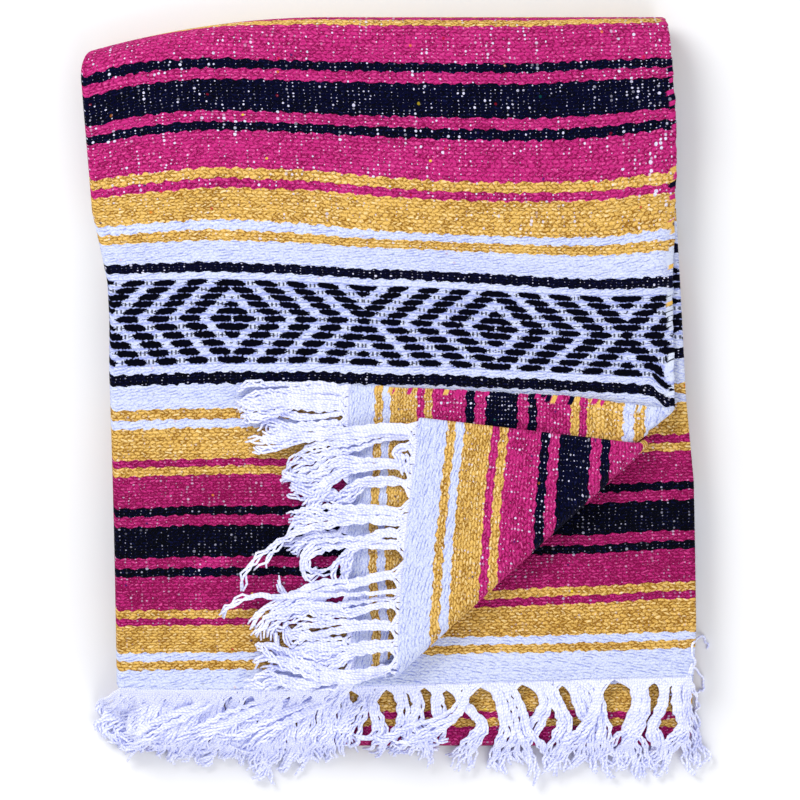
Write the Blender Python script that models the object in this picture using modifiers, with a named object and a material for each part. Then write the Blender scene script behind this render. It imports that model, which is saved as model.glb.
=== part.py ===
"""A striped, fringed blanket, folded in thirds across and in quarters along, with one corner turned back.

The pile is worked out flat and square first, in metres, with +X to the right, +Y away from the fringed
ends and +Z up. settle() then gives it the skew, the low back left corner and the soft crown of the real
pile. Layers are counted from 1 on top to 12 on the floor.
"""

import math
from collections import namedtuple

import bmesh
import bpy
from mathutils import Vector

MM = 0.001

# The cloth and the pile
WALL = 3.0 * MM
GAP = 0.3 * MM
PITCH = WALL + GAP
LAYERS = 12
BACK_EDGE = 272 * MM
FRONT_EDGE = -246 * MM
TOP_END = -205 * MM
INNER_END = -197 * MM
MIDDLE_END = -200 * MM
TUCK_UNDER = 6 * MM
LEFT_TUCK = 1 * MM

# The skew of the pile, the drop of its back left corner and its crown
SKEW_OFFSET = -3.0 * MM
SKEW_SLOPE = -0.0465
SKEW_CURVE = -0.051 / (1000 * MM)
CORNER_DROP = 26 * MM
CORNER_DROP_FROM_X = -30 * MM
CORNER_DROP_WIDTH = 177 * MM
CORNER_DROP_FROM_Y = 60 * MM
EDGE_SINK = 0.07
HALF_WIDTH = 207 * MM
HALF_LENGTH = 260 * MM

# The turned-back corner: a level axis for each layer that turns, and the rise that leaves the top layer's
# fold its roundness. The top layer slides a little, so its flap also slants along its axis
FOLD_RISE = 2.15 * MM
SAG = 5.6 * MM
SAG_RUN = 14 * MM
ROUND_STEPS = 9
EDGE_STEPS = 6
BACK_STEPS = 12
COLUMNS = 14

# The edges of the layers: x of the edge at each y, in millimetres
Edge = namedtuple("Edge", "y x")
TOP_LEFT = [Edge(-205, -205), Edge(20, -202), Edge(125, -205), Edge(272, -207)]
TOP_RIGHT = [Edge(-205, 200), Edge(-60, 199), Edge(0, 197), Edge(85, 201), Edge(160, 206), Edge(272, 206)]
INNER_RIGHT = [Edge(-200, 171), Edge(-26, 171), Edge(120, 190), Edge(272, 200)]
LOWER_LEFT = [Edge(-246, -199), Edge(40, -195), Edge(272, -200)]
LOWER_RIGHT = [Edge(-246, 201), Edge(-165, 207), Edge(-60, 209), Edge(0, 206), Edge(272, 206)]

Axis = namedtuple("Axis", "start end slant")
TOP_AXIS = Axis(Vector((-13 * MM, -180 * MM)), Vector((170.5 * MM, -25 * MM)), -0.24)
INNER_AXIS = Axis(Vector((-9 * MM, -184.5 * MM)), Vector((170.5 * MM, -25 * MM)), 0.0)

# The folded and the free edges of the lower layers: first and last layer, and how far in they lie
Bundle = namedtuple("Bundle", "top bottom inset")
MIDDLE_LEFT = [Bundle(5, 6, 4), Bundle(4, 4, 1)]
MIDDLE_RIGHT = [Bundle(6, 6, 4), Bundle(4, 5, 0)]
HIDDEN_LEFT = [Bundle(11, 12, 3), Bundle(10, 10, 5), Bundle(9, 9, 1), Bundle(7, 8, 7)]
HIDDEN_RIGHT = [Bundle(12, 12, 3), Bundle(10, 11, 5), Bundle(8, 9, 0), Bundle(7, 7, 6)]
ROUNDING = 1.2 * MM
GROOVE_DEPTH = 4 * MM

# The fringe. A strip of the cloth's end carries the tassels, and each tassel is a few locks side by side
STRIP_WIDTH = 4 * MM
LOCKS = 4
LOCK_PITCH = 2.9 * MM
END_PITCH = 4.4 * MM
LOCK_HALF = 1.1 * MM
TIP_HALF = 0.7 * MM
TIP_HEIGHT = 2.2 * MM
LOCK_STEPS = 8

# A tassel leaves its strip at a distance along it, and its lean from straight out changes along its length
Tassel = namedtuple("Tassel", "along start_lean end_lean length")
TOP_TASSELS = [
    Tassel(9, -30, 0, 62),
    Tassel(37, -12, 2, 66),
    Tassel(66, -14, 8, 68),
    Tassel(95, -8, 6, 72),
    Tassel(124, -4, 8, 70),
    Tassel(150, 2, 10, 62),
]
UNDER_FLAP_TASSELS = [
    Tassel(10, 8, -4, 78),
    Tassel(39, 4, 0, 82),
    Tassel(68, 0, 4, 76),
    Tassel(97, 6, -2, 80),
    Tassel(126, 0, 2, 74),
    Tassel(155, 4, 0, 78),
    Tassel(183, 0, 2, 84),
]
OVER_FLAP_TASSELS = [
    Tassel(9, -2, 6, 84),
    Tassel(35, -4, 4, 90),
    Tassel(61, 2, 14, 94),
    Tassel(87, 0, 10, 92),
    Tassel(113, -6, 12, 96),
    Tassel(139, 2, 8, 112),
]
MIDDLE_TASSELS = [
    Tassel(9, 6, -2, 66),
    Tassel(38, 0, 8, 70),
    Tassel(67, 6, 2, 66),
    Tassel(96, 2, 10, 72),
    Tassel(125, 8, 0, 70),
    Tassel(154, 2, 8, 74),
    Tassel(183, 4, 10, 76),
    Tassel(211, 6, 14, 66),
]

# Colours, as linear shares of red, green and blue
PINK = (0.60, 0.03, 0.17)
GOLD = (0.60, 0.34, 0.04)
LILAC = (0.70, 0.72, 0.86)
WHITE = (0.80, 0.80, 0.88)


def smooth(share):
    share = min(max(share, 0.0), 1.0)
    return share * share * (3 - 2 * share)


def mix(first, last, share):
    return first + (last - first) * share


def spread(first, last, steps):
    """Values from first to last in equal steps, both included."""
    return [mix(first, last, step / steps) for step in range(steps + 1)]


def edge_at(table, y):
    """The x of an edge at y, straight between the rows of its table."""
    y = min(max(y / MM, table[0].y), table[-1].y)
    for low, high in zip(table, table[1:]):
        if y <= high.y:
            return mix(low.x, high.x, (y - low.y) / (high.y - low.y)) * MM
    return table[-1].x * MM


def layer_z(layer):
    """The middle height of a layer's wall."""
    return (LAYERS - layer) * PITCH + WALL / 2


FOLD_Z = layer_z(1) + FOLD_RISE
INNER_Z = (layer_z(2) + layer_z(3)) / 2
INNER_WALL = PITCH + WALL
BACK_Z = (layer_z(1) + layer_z(12)) / 2
BACK_Y = BACK_EDGE - (layer_z(1) - BACK_Z) - WALL / 2
MIDDLE_BOTTOM = layer_z(6) - WALL / 2
MIDDLE_TOP = layer_z(4) + WALL / 2
HIDDEN_TOP = layer_z(7) + WALL / 2
CREASE_Y = FRONT_EDGE + HIDDEN_TOP / 2


def settle(point):
    """The real pile's place for a point of the flat, square one."""
    x, y, z = point
    skew = SKEW_OFFSET + SKEW_SLOPE * y + SKEW_CURVE * y * y
    aside = max(0.0, (CORNER_DROP_FROM_X - x) / CORNER_DROP_WIDTH)
    along = smooth((y - CORNER_DROP_FROM_Y) / (BACK_EDGE - CORNER_DROP_FROM_Y))
    crown = 1 - EDGE_SINK * ((x / HALF_WIDTH) ** 4 + (y / HALF_LENGTH) ** 4) / 2
    return Vector((x + skew, y - CORNER_DROP * aside**2 * along, z * crown))


def ways_of(axis):
    """The unit ways along the axis of the turned-back corner, and out of the pile across it."""
    along = (axis.end - axis.start).normalized()
    return along, Vector((along.y, -along.x))


def outward_of(point, axis):
    """How far a point lies beyond the axis of the turned-back corner."""
    return (point.xy - axis.start).dot(ways_of(axis)[1])


def half_round(radius, travel):
    """Forward and upward place on a half round of straight chords, after some travel on it."""
    turned = min(travel / (math.pi * radius), 1.0) * ROUND_STEPS
    step = min(int(turned), ROUND_STEPS - 1)
    first = math.pi * step / ROUND_STEPS
    last = math.pi * (step + 1) / ROUND_STEPS
    share = turned - step
    forward = radius * mix(math.sin(first), math.sin(last), share)
    upward = radius * (1 - mix(math.cos(first), math.cos(last), share))
    return forward, upward


def turn_corner(point, axis):
    """A point of a layer, with the corner beyond the axis turned back over the pile."""
    outward = outward_of(point, axis)
    if outward <= 0:
        return point
    along, across = ways_of(axis)
    radius = FOLD_Z - point.z
    forward, upward = half_round(radius, outward)
    inward = max(0.0, outward - math.pi * radius)
    place = point.xy + across * (forward - inward - outward) + along * axis.slant * inward
    return Vector((place.x, place.y, point.z + upward))


def sagged(point):
    """The top layer sinks beyond the folded edge of the two layers under it, but not at corner or back."""
    beyond = point.x - edge_at(INNER_RIGHT, point.y) - WALL
    before_axis = -outward_of(point, TOP_AXIS)
    before_back = BACK_Y - 2 * SAG_RUN - point.y
    fade = smooth(before_axis / (3 * SAG_RUN)) * smooth(before_back / (4 * SAG_RUN))
    return point - Vector((0, 0, SAG * smooth(beyond / SAG_RUN) * fade))


def bend_back(point):
    """A point that has run past the back of the pile, taken round it and under it."""
    travel = point.y - BACK_Y
    if travel <= 0:
        return point
    radius = point.z - BACK_Z
    full = math.pi * (layer_z(1) - BACK_Z)
    turned = math.pi * min(travel / full, 1.0)
    y = BACK_Y + radius * math.sin(turned) - max(0.0, travel - full)
    return Vector((point.x, y, BACK_Z + radius * math.cos(turned)))


def new_object(name, bm, colour, collection):
    """An object with its own matt cloth material, from a bmesh."""
    bmesh.ops.recalc_face_normals(bm, faces=bm.faces)
    mesh = bpy.data.meshes.new(name)
    bm.to_mesh(mesh)
    bm.free()
    material = bpy.data.materials.new(name)
    material.use_nodes = True
    shader = material.node_tree.nodes["Principled BSDF"]
    shader.inputs["Base Color"].default_value = (*colour, 1)
    shader.inputs["Roughness"].default_value = 0.9
    shader.inputs["Metallic"].default_value = 0.0
    mesh.materials.append(material)
    obj = bpy.data.objects.new(name, mesh)
    collection.objects.link(obj)
    return obj


def grid(columns, rows, place):
    """An open surface whose grid points lie where place(column value, row value) says."""
    bm = bmesh.new()
    bmesh.ops.create_grid(bm, x_segments=len(columns) - 1, y_segments=len(rows) - 1, size=1)
    for vert in bm.verts:
        column = round((vert.co.x + 1) / 2 * (len(columns) - 1))
        row = round((vert.co.y + 1) / 2 * (len(rows) - 1))
        vert.co = place(columns[column], rows[row])
    return bm


def cut_fold_lines(bm, z, axis):
    """Edges along the corner's fold, so that a layer at height z turns in clean steps."""
    radius = FOLD_Z - z
    across = ways_of(axis)[1]
    for step in range(ROUND_STEPS + 1):
        origin = axis.start + across * math.pi * radius * step / ROUND_STEPS
        faces = [face for face in bm.faces if abs(face.calc_center_median().z - z) < WALL / 4]
        parts = {part for face in faces for part in (face, *face.edges, *face.verts)}
        bmesh.ops.bisect_plane(
            bm,
            geom=list(parts),
            plane_co=(*origin, 0),
            plane_no=(*across, 0),
            dist=0.05 * MM,
        )


def thicken(obj, wall):
    """A wall on both sides of an open surface."""
    solidify = obj.modifiers.new("wall", "SOLIDIFY")
    solidify.thickness = wall
    solidify.offset = 0
    solidify.use_even_offset = True
    graph = bpy.context.evaluated_depsgraph_get()
    flat = obj.data
    obj.data = bpy.data.meshes.new_from_object(obj.evaluated_get(graph))
    obj.data.name = obj.name
    obj.modifiers.clear()
    bpy.data.meshes.remove(flat)


def settle_object(obj):
    for vert in obj.data.vertices:
        vert.co = settle(vert.co)
    obj.data.shade_smooth()
    obj.data.set_sharp_from_angle(angle=math.radians(50))


def make_top_ply(collection):
    """Layer 1: its corner turned back, its left edge folded down, its far end taken round the back."""
    radius = PITCH / 2
    columns = spread(-1.0, 0.0, 3) + spread(0.0, 1.0, COLUMNS)[1:]
    columns += spread(1.0, 2.0, EDGE_STEPS)[1:] + [3.0]
    end_of_turn = BACK_Y + math.pi * (layer_z(1) - BACK_Z)
    rows = spread(TOP_END, BACK_Y, 14) + spread(BACK_Y, end_of_turn, BACK_STEPS)[1:]
    rows.append(end_of_turn + TUCK_UNDER)

    def place(across, y):
        left = edge_at(TOP_LEFT, y) + WALL / 2 + radius
        inner_edge = edge_at(INNER_RIGHT, y) + WALL
        if across <= 0.0:
            return Vector((mix(inner_edge, edge_at(TOP_RIGHT, y), -across), y, layer_z(1)))
        if across <= 1.0:
            return Vector((mix(inner_edge, left, across), y, layer_z(1)))
        if across > 2.0:
            return Vector((left + LEFT_TUCK, y, layer_z(2)))
        turned = math.pi * (across - 1.0)
        return Vector((left - radius * math.sin(turned), y, layer_z(1) - radius * (1 - math.cos(turned))))

    bm = grid(columns, rows, place)
    cut_fold_lines(bm, layer_z(1), TOP_AXIS)
    for vert in bm.verts:
        vert.co = bend_back(turn_corner(sagged(vert.co.copy()), TOP_AXIS))
    thicken(new_object("top_ply", bm, PINK, collection), WALL)


def make_inner_plies(collection):
    """Layers 2 and 3 as one double wall, their corner turned back and their far end taken over the back."""
    columns = spread(0.0, 1.0, COLUMNS)
    quarter = math.pi * (layer_z(1) - BACK_Z) / 2
    rows = spread(INNER_END, BACK_Y, 14) + spread(BACK_Y, BACK_Y + quarter - WALL, BACK_STEPS // 2)[1:]

    def place(across, y):
        left = edge_at(TOP_LEFT, y) + WALL / 2 + PITCH / 2 + LEFT_TUCK + GAP
        return Vector((mix(edge_at(INNER_RIGHT, y), left, across), y, INNER_Z))

    bm = grid(columns, rows, place)
    cut_fold_lines(bm, INNER_Z, INNER_AXIS)
    for vert in bm.verts:
        vert.co = bend_back(turn_corner(vert.co.copy(), INNER_AXIS))
    thicken(new_object("inner_plies", bm, GOLD, collection), INNER_WALL)


def side_points(bundles, edge, sign, bottom, top):
    """The layered side of a slab from its foot up: x, and the height's share from bottom to top."""
    points = []
    share = ROUNDING / (top - bottom)
    for index, bundle in enumerate(bundles):
        outer = edge - sign * bundle.inset * MM
        low = (layer_z(bundle.bottom) - WALL / 2 - bottom) / (top - bottom)
        high = (layer_z(bundle.top) + WALL / 2 - bottom) / (top - bottom)
        points.append((outer - sign * ROUNDING, low))
        points.append((outer, low + share))
        points.append((outer, high - share))
        points.append((outer - sign * ROUNDING, high))
        if index + 1 < len(bundles):
            deeper = max(bundle.inset, bundles[index + 1].inset) * MM + GROOVE_DEPTH
            points.append((edge - sign * deeper, high + GAP / 2 / (top - bottom)))
    return points


def make_slab(name, sides, levels, stations, colour, collection):
    """A rounded slab of several layers. Each station is y with the bottom and top heights there."""
    bm = bmesh.new()
    rings = []
    for y, bottom, top in stations:
        left = side_points(sides[0], edge_at(LOWER_LEFT, y), -1, *levels)
        right = side_points(sides[1], edge_at(LOWER_RIGHT, y), 1, *levels)
        under = [(x, 0.0) for x in spread(left[0][0], right[0][0], COLUMNS)[1:-1]]
        over = [(x, 1.0) for x in spread(right[-1][0], left[-1][0], COLUMNS)[1:-1]]
        section = under + right + over + left[::-1]
        rings.append([bm.verts.new((x, y, mix(bottom, top, share))) for x, share in section])
    for first, last in zip(rings, rings[1:]):
        for index in range(len(first)):
            near = (index + 1) % len(first)
            bm.faces.new((first[index], first[near], last[near], last[index]))
    bm.faces.new(rings[0])
    bm.faces.new(rings[-1])
    new_object(name, bm, colour, collection)


def make_middle_plies(collection):
    """Layers 4 to 6, rounded at their fringed end and inside the turn at the back."""
    middle = (MIDDLE_BOTTOM + MIDDLE_TOP) / 2
    half = (MIDDLE_TOP - MIDDLE_BOTTOM) / 2
    stations = []
    for inset, share in ((0.0, 0.55), (1.2 * MM, 0.82), (4 * MM, 1.0)):
        stations.append((MIDDLE_END + inset, middle - half * share, middle + half * share))
    for y in spread(MIDDLE_END + 4 * MM, BACK_Y, 12)[1:]:
        stations.append((y, MIDDLE_BOTTOM, MIDDLE_TOP))
    radius = MIDDLE_TOP - BACK_Z
    for angle in (30, 55, 72):
        y = BACK_Y + radius * math.sin(math.radians(angle))
        stations.append((y, MIDDLE_BOTTOM, BACK_Z + radius * math.cos(math.radians(angle))))
    sides = (MIDDLE_LEFT, MIDDLE_RIGHT)
    make_slab("middle_plies", sides, (MIDDLE_BOTTOM, MIDDLE_TOP), stations, LILAC, collection)


def make_hidden_plies(collection):
    """Layers 7 to 12 in one rounded solid: a near crease, a flat underside, the inside of the back turn."""
    half = HIDDEN_TOP / 2
    stations = []
    for angle in (84, 70, 52, 34, 17):
        reach = half * math.cos(math.radians(angle))
        stations.append((CREASE_Y - half * math.sin(math.radians(angle)), half - reach, half + reach))
    for y in spread(CREASE_Y, BACK_Y - 2 * TUCK_UNDER, 12):
        stations.append((y, 0.0, HIDDEN_TOP))
    stations.append((BACK_Y - TUCK_UNDER - 2 * GAP, PITCH, HIDDEN_TOP))
    stations.append((BACK_Y, PITCH, HIDDEN_TOP))
    radius = BACK_Z - PITCH - GAP
    for angle in (20, 40, 60, 75):
        y = BACK_Y + radius * math.sin(math.radians(angle))
        stations.append((y, BACK_Z - radius * math.cos(math.radians(angle)), HIDDEN_TOP))
    sides = (HIDDEN_LEFT, HIDDEN_RIGHT)
    make_slab("hidden_plies", sides, (0.0, HIDDEN_TOP), stations, PINK, collection)


def drape_from(root_z):
    """Heights of a tassel that falls from root_z over the hidden layers and their crease to the floor."""
    over = HIDDEN_TOP + GAP * 4 + LOCK_HALF

    def height(travel, point):
        high = mix(root_z, over, smooth(travel / (18 * MM)))
        falling = smooth((CREASE_Y - 2 * MM - point.y) / (25 * MM))
        return mix(high, TIP_HEIGHT, falling)

    return height


def lie_from(root_z, first_z, last_z, after):
    """Heights of a tassel that lies on the pile: first_z soon after its root, last_z further on."""

    def height(travel, point):
        low = mix(first_z, last_z, smooth((travel - after) / (20 * MM)))
        return mix(root_z, low, smooth(travel / (12 * MM)))

    return height


def lock_points(tassel, offset, start, run, out):
    """Points in plan along one lock, and its sideways direction at each, from its root on the strip."""
    middle = start.copy()
    points = []
    for step in range(1, LOCK_STEPS + 1):
        share = (step - 0.5) / LOCK_STEPS
        lean = math.radians(mix(tassel.start_lean, tassel.end_lean, share))
        along = out * math.cos(lean) + Vector((-out.y, out.x)) * math.sin(lean)
        middle = middle + along * tassel.length * MM / LOCK_STEPS
        aside = Vector((-along.y, along.x))
        if aside.dot(run) < 0:
            aside.negate()
        spacing = mix(LOCK_PITCH, END_PITCH, smooth(step / LOCK_STEPS))
        points.append((middle + aside * offset * spacing, aside))
    return points


def grow_lock(bm, root, tassel, offset, start, run, out, height):
    """One four-sided lock, from the root face's four corners to its closed tip."""
    ring = root
    for step, (point, aside) in enumerate(lock_points(tassel, offset, start, run, out), start=1):
        share = step / LOCK_STEPS
        half = mix(LOCK_HALF, TIP_HALF, share**3)
        z = height(share * tassel.length * MM, point)
        low = (point - aside * half, point + aside * half)
        corners = [(*low[0], z - half), (*low[1], z - half), (*low[1], z + half), (*low[0], z + half)]
        following = [bm.verts.new(corner) for corner in corners]
        for index in range(4):
            near = (index + 1) % 4
            bm.faces.new((ring[index], ring[near], following[near], following[index]))
        ring = following
    bm.faces.new(ring)


def make_fringe(name, first, last, away, root_z, tassels, height, collection):
    """Locks that grow from a strip laid GAP off a cloth's end, on the side that away points to."""
    run = (last - first).normalized()
    out = (away - run * away.dot(run)).normalized()
    stops = [0.0]
    locks = {}
    for tassel in tassels:
        for lock in range(LOCKS):
            offset = lock - (LOCKS - 1) / 2
            centre = tassel.along * MM + offset * LOCK_PITCH
            locks[len(stops)] = (tassel, offset)
            stops += [centre - LOCK_HALF, centre + LOCK_HALF]
    stops.append((last - first).length)
    bm = bmesh.new()
    rings = []
    for stop in stops:
        inner = first + run * stop + out * GAP
        outer = inner + out * STRIP_WIDTH
        low = root_z - WALL / 2
        high = root_z + WALL / 2
        corners = ((*inner, low), (*outer, low), (*outer, high), (*inner, high))
        rings.append([bm.verts.new(corner) for corner in corners])
    for index, (near, far) in enumerate(zip(rings, rings[1:])):
        for side in (0, 2, 3):
            after = (side + 1) % 4
            bm.faces.new((near[side], near[after], far[after], far[side]))
        root = (near[1], far[1], far[2], near[2])
        if index not in locks:
            bm.faces.new(root)
            continue
        tassel, offset = locks[index]
        start = first + run * tassel.along * MM + out * (GAP + STRIP_WIDTH)
        grow_lock(bm, root, tassel, offset, start, run, out, height)
    bm.faces.new(rings[0])
    bm.faces.new(rings[-1])
    new_object(name, bm, WHITE, collection)


def turned_ends(x_values, y, z, axis):
    """In plan: the two ends of a turned-back fringed end, and the way off its cloth."""
    first, last = (turn_corner(Vector((x * MM, y, z)), axis).xy for x in x_values)
    beyond = turn_corner(Vector((x_values[1] * MM, y - MM, z)), axis).xy
    return first, last, beyond - last


def make_fringes(collection):
    """The tassels on the four cloth ends that show."""
    forward = Vector((0, -1))
    top_z = layer_z(1)
    middle_z = (MIDDLE_BOTTOM + MIDDLE_TOP) / 2
    under_z = 2 * FOLD_Z - top_z
    over_z = 2 * FOLD_Z - INNER_Z
    on_pile = LAYERS * PITCH + LOCK_HALF
    on_under = on_pile + 2 * LOCK_HALF + GAP * 2
    on_flap = under_z + WALL / 2 + GAP * 2 + LOCK_HALF
    top = (Vector((-201 * MM, TOP_END)), Vector((-42 * MM, TOP_END)), forward)
    middle = (Vector((-25 * MM, MIDDLE_END)), Vector((202 * MM, MIDDLE_END)), forward)
    under = turned_ends((-20, 198), TOP_END, top_z, TOP_AXIS)
    over = turned_ends((19, 169), INNER_END, INNER_Z, INNER_AXIS)
    lie_under = lie_from(under_z, on_pile, on_pile, 0.0)
    lie_over = lie_from(over_z, on_flap, on_under, 60 * MM)
    make_fringe("fringe_top_ply", *top, top_z, TOP_TASSELS, drape_from(top_z), collection)
    make_fringe("fringe_middle_plies", *middle, middle_z, MIDDLE_TASSELS, drape_from(middle_z), collection)
    make_fringe("fringe_under_flap", *under, under_z, UNDER_FLAP_TASSELS, lie_under, collection)
    make_fringe("fringe_over_flap", *over, over_z, OVER_FLAP_TASSELS, lie_over, collection)


def main():
    for obj in list(bpy.data.objects):
        bpy.data.objects.remove(obj, do_unlink=True)
    collection = bpy.data.collections.new("mexican_blanket")
    bpy.context.scene.collection.children.link(collection)
    make_hidden_plies(collection)
    make_middle_plies(collection)
    make_inner_plies(collection)
    make_top_ply(collection)
    make_fringes(collection)
    for obj in collection.objects:
        settle_object(obj)


main()
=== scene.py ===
"""The looks of the folded, striped, fringed blanket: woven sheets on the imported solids' form, and tassels.

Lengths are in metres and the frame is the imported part's: +X to the right, +Y away from the fringed ends,
+Z up. The folded cloth is worked out from two numbers: how far across its folds a point is (0 to 1 over the
first layer, 1 to 2 round the left fold, 2 to 3 over the second layer, and so on) and how far it is from the
fringed end along the cloth.
"""

import math
from collections import namedtuple
from functools import partial

import bpy
import numpy as np
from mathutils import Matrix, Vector
from mathutils.bvhtree import BVHTree


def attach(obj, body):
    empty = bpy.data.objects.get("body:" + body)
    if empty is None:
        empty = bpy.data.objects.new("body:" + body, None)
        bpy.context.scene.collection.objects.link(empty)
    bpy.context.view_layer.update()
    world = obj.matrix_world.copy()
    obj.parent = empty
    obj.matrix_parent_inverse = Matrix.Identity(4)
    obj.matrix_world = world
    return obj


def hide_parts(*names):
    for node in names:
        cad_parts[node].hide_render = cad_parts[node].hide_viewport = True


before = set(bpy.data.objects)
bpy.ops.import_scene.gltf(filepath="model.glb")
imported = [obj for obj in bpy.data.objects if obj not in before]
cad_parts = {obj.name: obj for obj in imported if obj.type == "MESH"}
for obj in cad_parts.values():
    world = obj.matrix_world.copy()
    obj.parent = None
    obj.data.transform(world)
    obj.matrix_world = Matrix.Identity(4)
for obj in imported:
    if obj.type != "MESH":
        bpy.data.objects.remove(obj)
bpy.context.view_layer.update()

MM = 0.001

# One pixel of the photograph, which looks straight down with the frame's origin at its middle
PIXEL = 0.71 * MM
PHOTO_MIDDLE = 400

# The pile, as in the solids
WALL = 3.0 * MM
GAP = 0.3 * MM
PITCH = WALL + GAP
BACK_EDGE = 272 * MM
FRONT_EDGE = -246 * MM
TOP_END = -205 * MM
INNER_END = -197 * MM
MIDDLE_END = -200 * MM
TOP_Z = 11 * PITCH + WALL / 2
INNER_Z = 9.5 * PITCH + WALL / 2
BACK_Z = (TOP_Z + WALL / 2) / 2
BACK_RADIUS = TOP_Z - BACK_Z
BACK_Y = BACK_EDGE - BACK_RADIUS - WALL / 2
CREASE_Z = 5 * PITCH / 2 + WALL / 2
CREASE_Y = FRONT_EDGE + CREASE_Z
FOLD_Z = TOP_Z + 2.15 * MM
FOLD_RADIUS = PITCH / 2
SAG = 5.6 * MM
SAG_RUN = 14 * MM

Edge = namedtuple("Edge", "y x")
TOP_LEFT = [
    Edge(-205, -205), Edge(20, -202), Edge(57, -200), Edge(85, -200), Edge(115, -204), Edge(142, -207.5),
    Edge(272, -208),
]
TOP_RIGHT = [
    Edge(-205, 200), Edge(-60, 199), Edge(0, 197), Edge(85, 200), Edge(160, 207), Edge(199, 209.5),
    Edge(272, 209.5),
]
INNER_RIGHT = [Edge(-200, 171), Edge(-26, 171), Edge(120, 190), Edge(272, 200)]
LOWER_LEFT = [Edge(-246, -199), Edge(40, -195), Edge(272, -200)]
LOWER_RIGHT = [Edge(-246, 201), Edge(-165, 207), Edge(-60, 209), Edge(0, 206), Edge(272, 206)]

Axis = namedtuple("Axis", "start end slant")
TOP_AXIS = Axis((-13 * MM, -180 * MM), (170.5 * MM, -25 * MM), -0.24)
INNER_AXIS = Axis((-9 * MM, -184.5 * MM), (170.5 * MM, -25 * MM), 0.0)

# The cloth's way through the pile, layers 1 to 3 first: where each run and each turn ends along the cloth
RUN_A = BACK_Y - TOP_END
TURN_AB = RUN_A + math.pi * BACK_RADIUS
RUN_B = TURN_AB + BACK_Y - CREASE_Y
TURN_BC = RUN_B + math.pi * (CREASE_Z - WALL / 2)
RUN_C = TURN_BC + BACK_Y - CREASE_Y
TURN_CD = RUN_C + math.pi * (CREASE_Z - WALL / 2)
RUN_D = TURN_CD + BACK_Y - MIDDLE_END

# How far inside the pile's side edges those of each lower run lie, in millimetres
Insets = namedtuple("Insets", "right left_fold right_fold left")
INSETS_B = Insets(3, 3, 5, 5)
INSETS_C = Insets(6, 7, 0, 1)
INSETS_D = Insets(4, 4, 0, 1)
INNER_LEFT_INSET = 1.3

# The real pile: its skew, as a curve over y, its low back left corner and its soft crown
SKEW = 3.0
SKEW_SLOPE = 0.0465
SKEW_CURVE = 51
LOW_CORNER = 26 * MM
LOW_FROM_X = -30 * MM
LOW_FROM_Y = 60 * MM
LOW_WIDTH = 177 * MM
CROWN = 0.035
HALF_WIDTH = 207 * MM
HALF_LENGTH = 260 * MM

# The turned-back corner is pulled a little out of square, more towards its free edges
PULL_REACH = 190 * MM
PULL_FROM_X = -20 * MM
PULL_SOFTENING = 70 * MM
TOP_PULL = (5 * MM, 7 * MM)
INNER_PULL = (9 * MM, 6 * MM)
INNER_PULL_FROM = 40 * MM
INNER_PULL_SOFTENING = 90 * MM
MIDDLE_TILT = 0.03
MIDDLE_TILT_X = 60 * MM


def smooth(share):
    share = np.clip(share, 0.0, 1.0)
    return share * share * (3 - 2 * share)


def mix(first, last, share):
    return first + (last - first) * share


def smoothed(values, passes):
    """The values, each evened out with its neighbours along the first axis, again and again."""
    for _ in range(passes):
        values[1:-1] = (values[:-2] + 2 * values[1:-1] + values[2:]) / 4
    return values


def unit(vectors, least_length=0.0):
    return vectors / (np.linalg.norm(vectors, axis=-1, keepdims=True) + least_length)


def reach_along(points):
    """How far along a line each of its points is."""
    return np.concatenate([[0], np.cumsum(np.linalg.norm(np.diff(points, axis=0), axis=-1))])


def edge_at(table, y, more=0.0):
    """The x of an edge at each y, with some millimetres more."""
    return (np.interp(y / MM, [row.y for row in table], [row.x for row in table]) + more) * MM


# The cloth's form

Sides = namedtuple("Sides", "right left_fold right_fold left")


def lower_sides(y, inset, fold):
    """x of the four side edges in a lower run. fold is how far inside an edge the middle of a fold lies."""
    return (edge_at(LOWER_RIGHT, y, -inset.right), edge_at(LOWER_LEFT, y, inset.left_fold + fold),
            edge_at(LOWER_RIGHT, y, -inset.right_fold - fold), edge_at(LOWER_LEFT, y, inset.left))


def sides_at(run):
    """x of the four side edges of a triple layer, at each place along the cloth."""
    fold = (WALL / 2 + FOLD_RADIUS) / MM
    y_a = np.clip(TOP_END + run, TOP_END, BACK_Y)
    y_b = np.clip(BACK_Y - (run - TURN_AB), CREASE_Y, BACK_Y)
    y_c = np.clip(CREASE_Y + (run - TURN_BC), CREASE_Y, BACK_Y)
    y_d = np.clip(BACK_Y - (run - TURN_CD), MIDDLE_END, BACK_Y)
    sides = (edge_at(TOP_RIGHT, y_a), edge_at(TOP_LEFT, y_a, fold), edge_at(INNER_RIGHT, y_a, -fold),
             edge_at(TOP_LEFT, y_a, fold + INNER_LEFT_INSET))
    for y, inset, start, end in ((y_b, INSETS_B, RUN_A, TURN_AB), (y_c, INSETS_C, RUN_B, TURN_BC),
                                 (y_d, INSETS_D, RUN_C, TURN_CD)):
        share = smooth((run - start) / (end - start))
        sides = [mix(before, after, share) for before, after in zip(sides, lower_sides(y, inset, fold))]
    return Sides(*sides)


def across_at(across, sides):
    """x, and the layer's number within its triple, at each place across the folds."""
    turned = math.pi * (across % 1.0)
    bulge = FOLD_RADIUS * np.sin(turned)
    lift = (1 - np.cos(turned)) / 2
    first = mix(sides.right, sides.left_fold, across)
    second = mix(sides.left_fold, sides.right_fold, across - 2)
    third = mix(sides.right_fold, sides.left, across - 4)
    masks = [across <= 1, across <= 2, across <= 3, across < 4]
    x = np.select(masks, [first, sides.left_fold - bulge, second, sides.right_fold + bulge], third)
    layer = np.select(masks, [0 * x, lift + 0 * x, 1 + 0 * x, 1 + lift + 0 * x], 2 + 0 * x)
    return x, np.where(across == 2, 1.0, np.where(across == 4, 2.0, layer))


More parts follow.
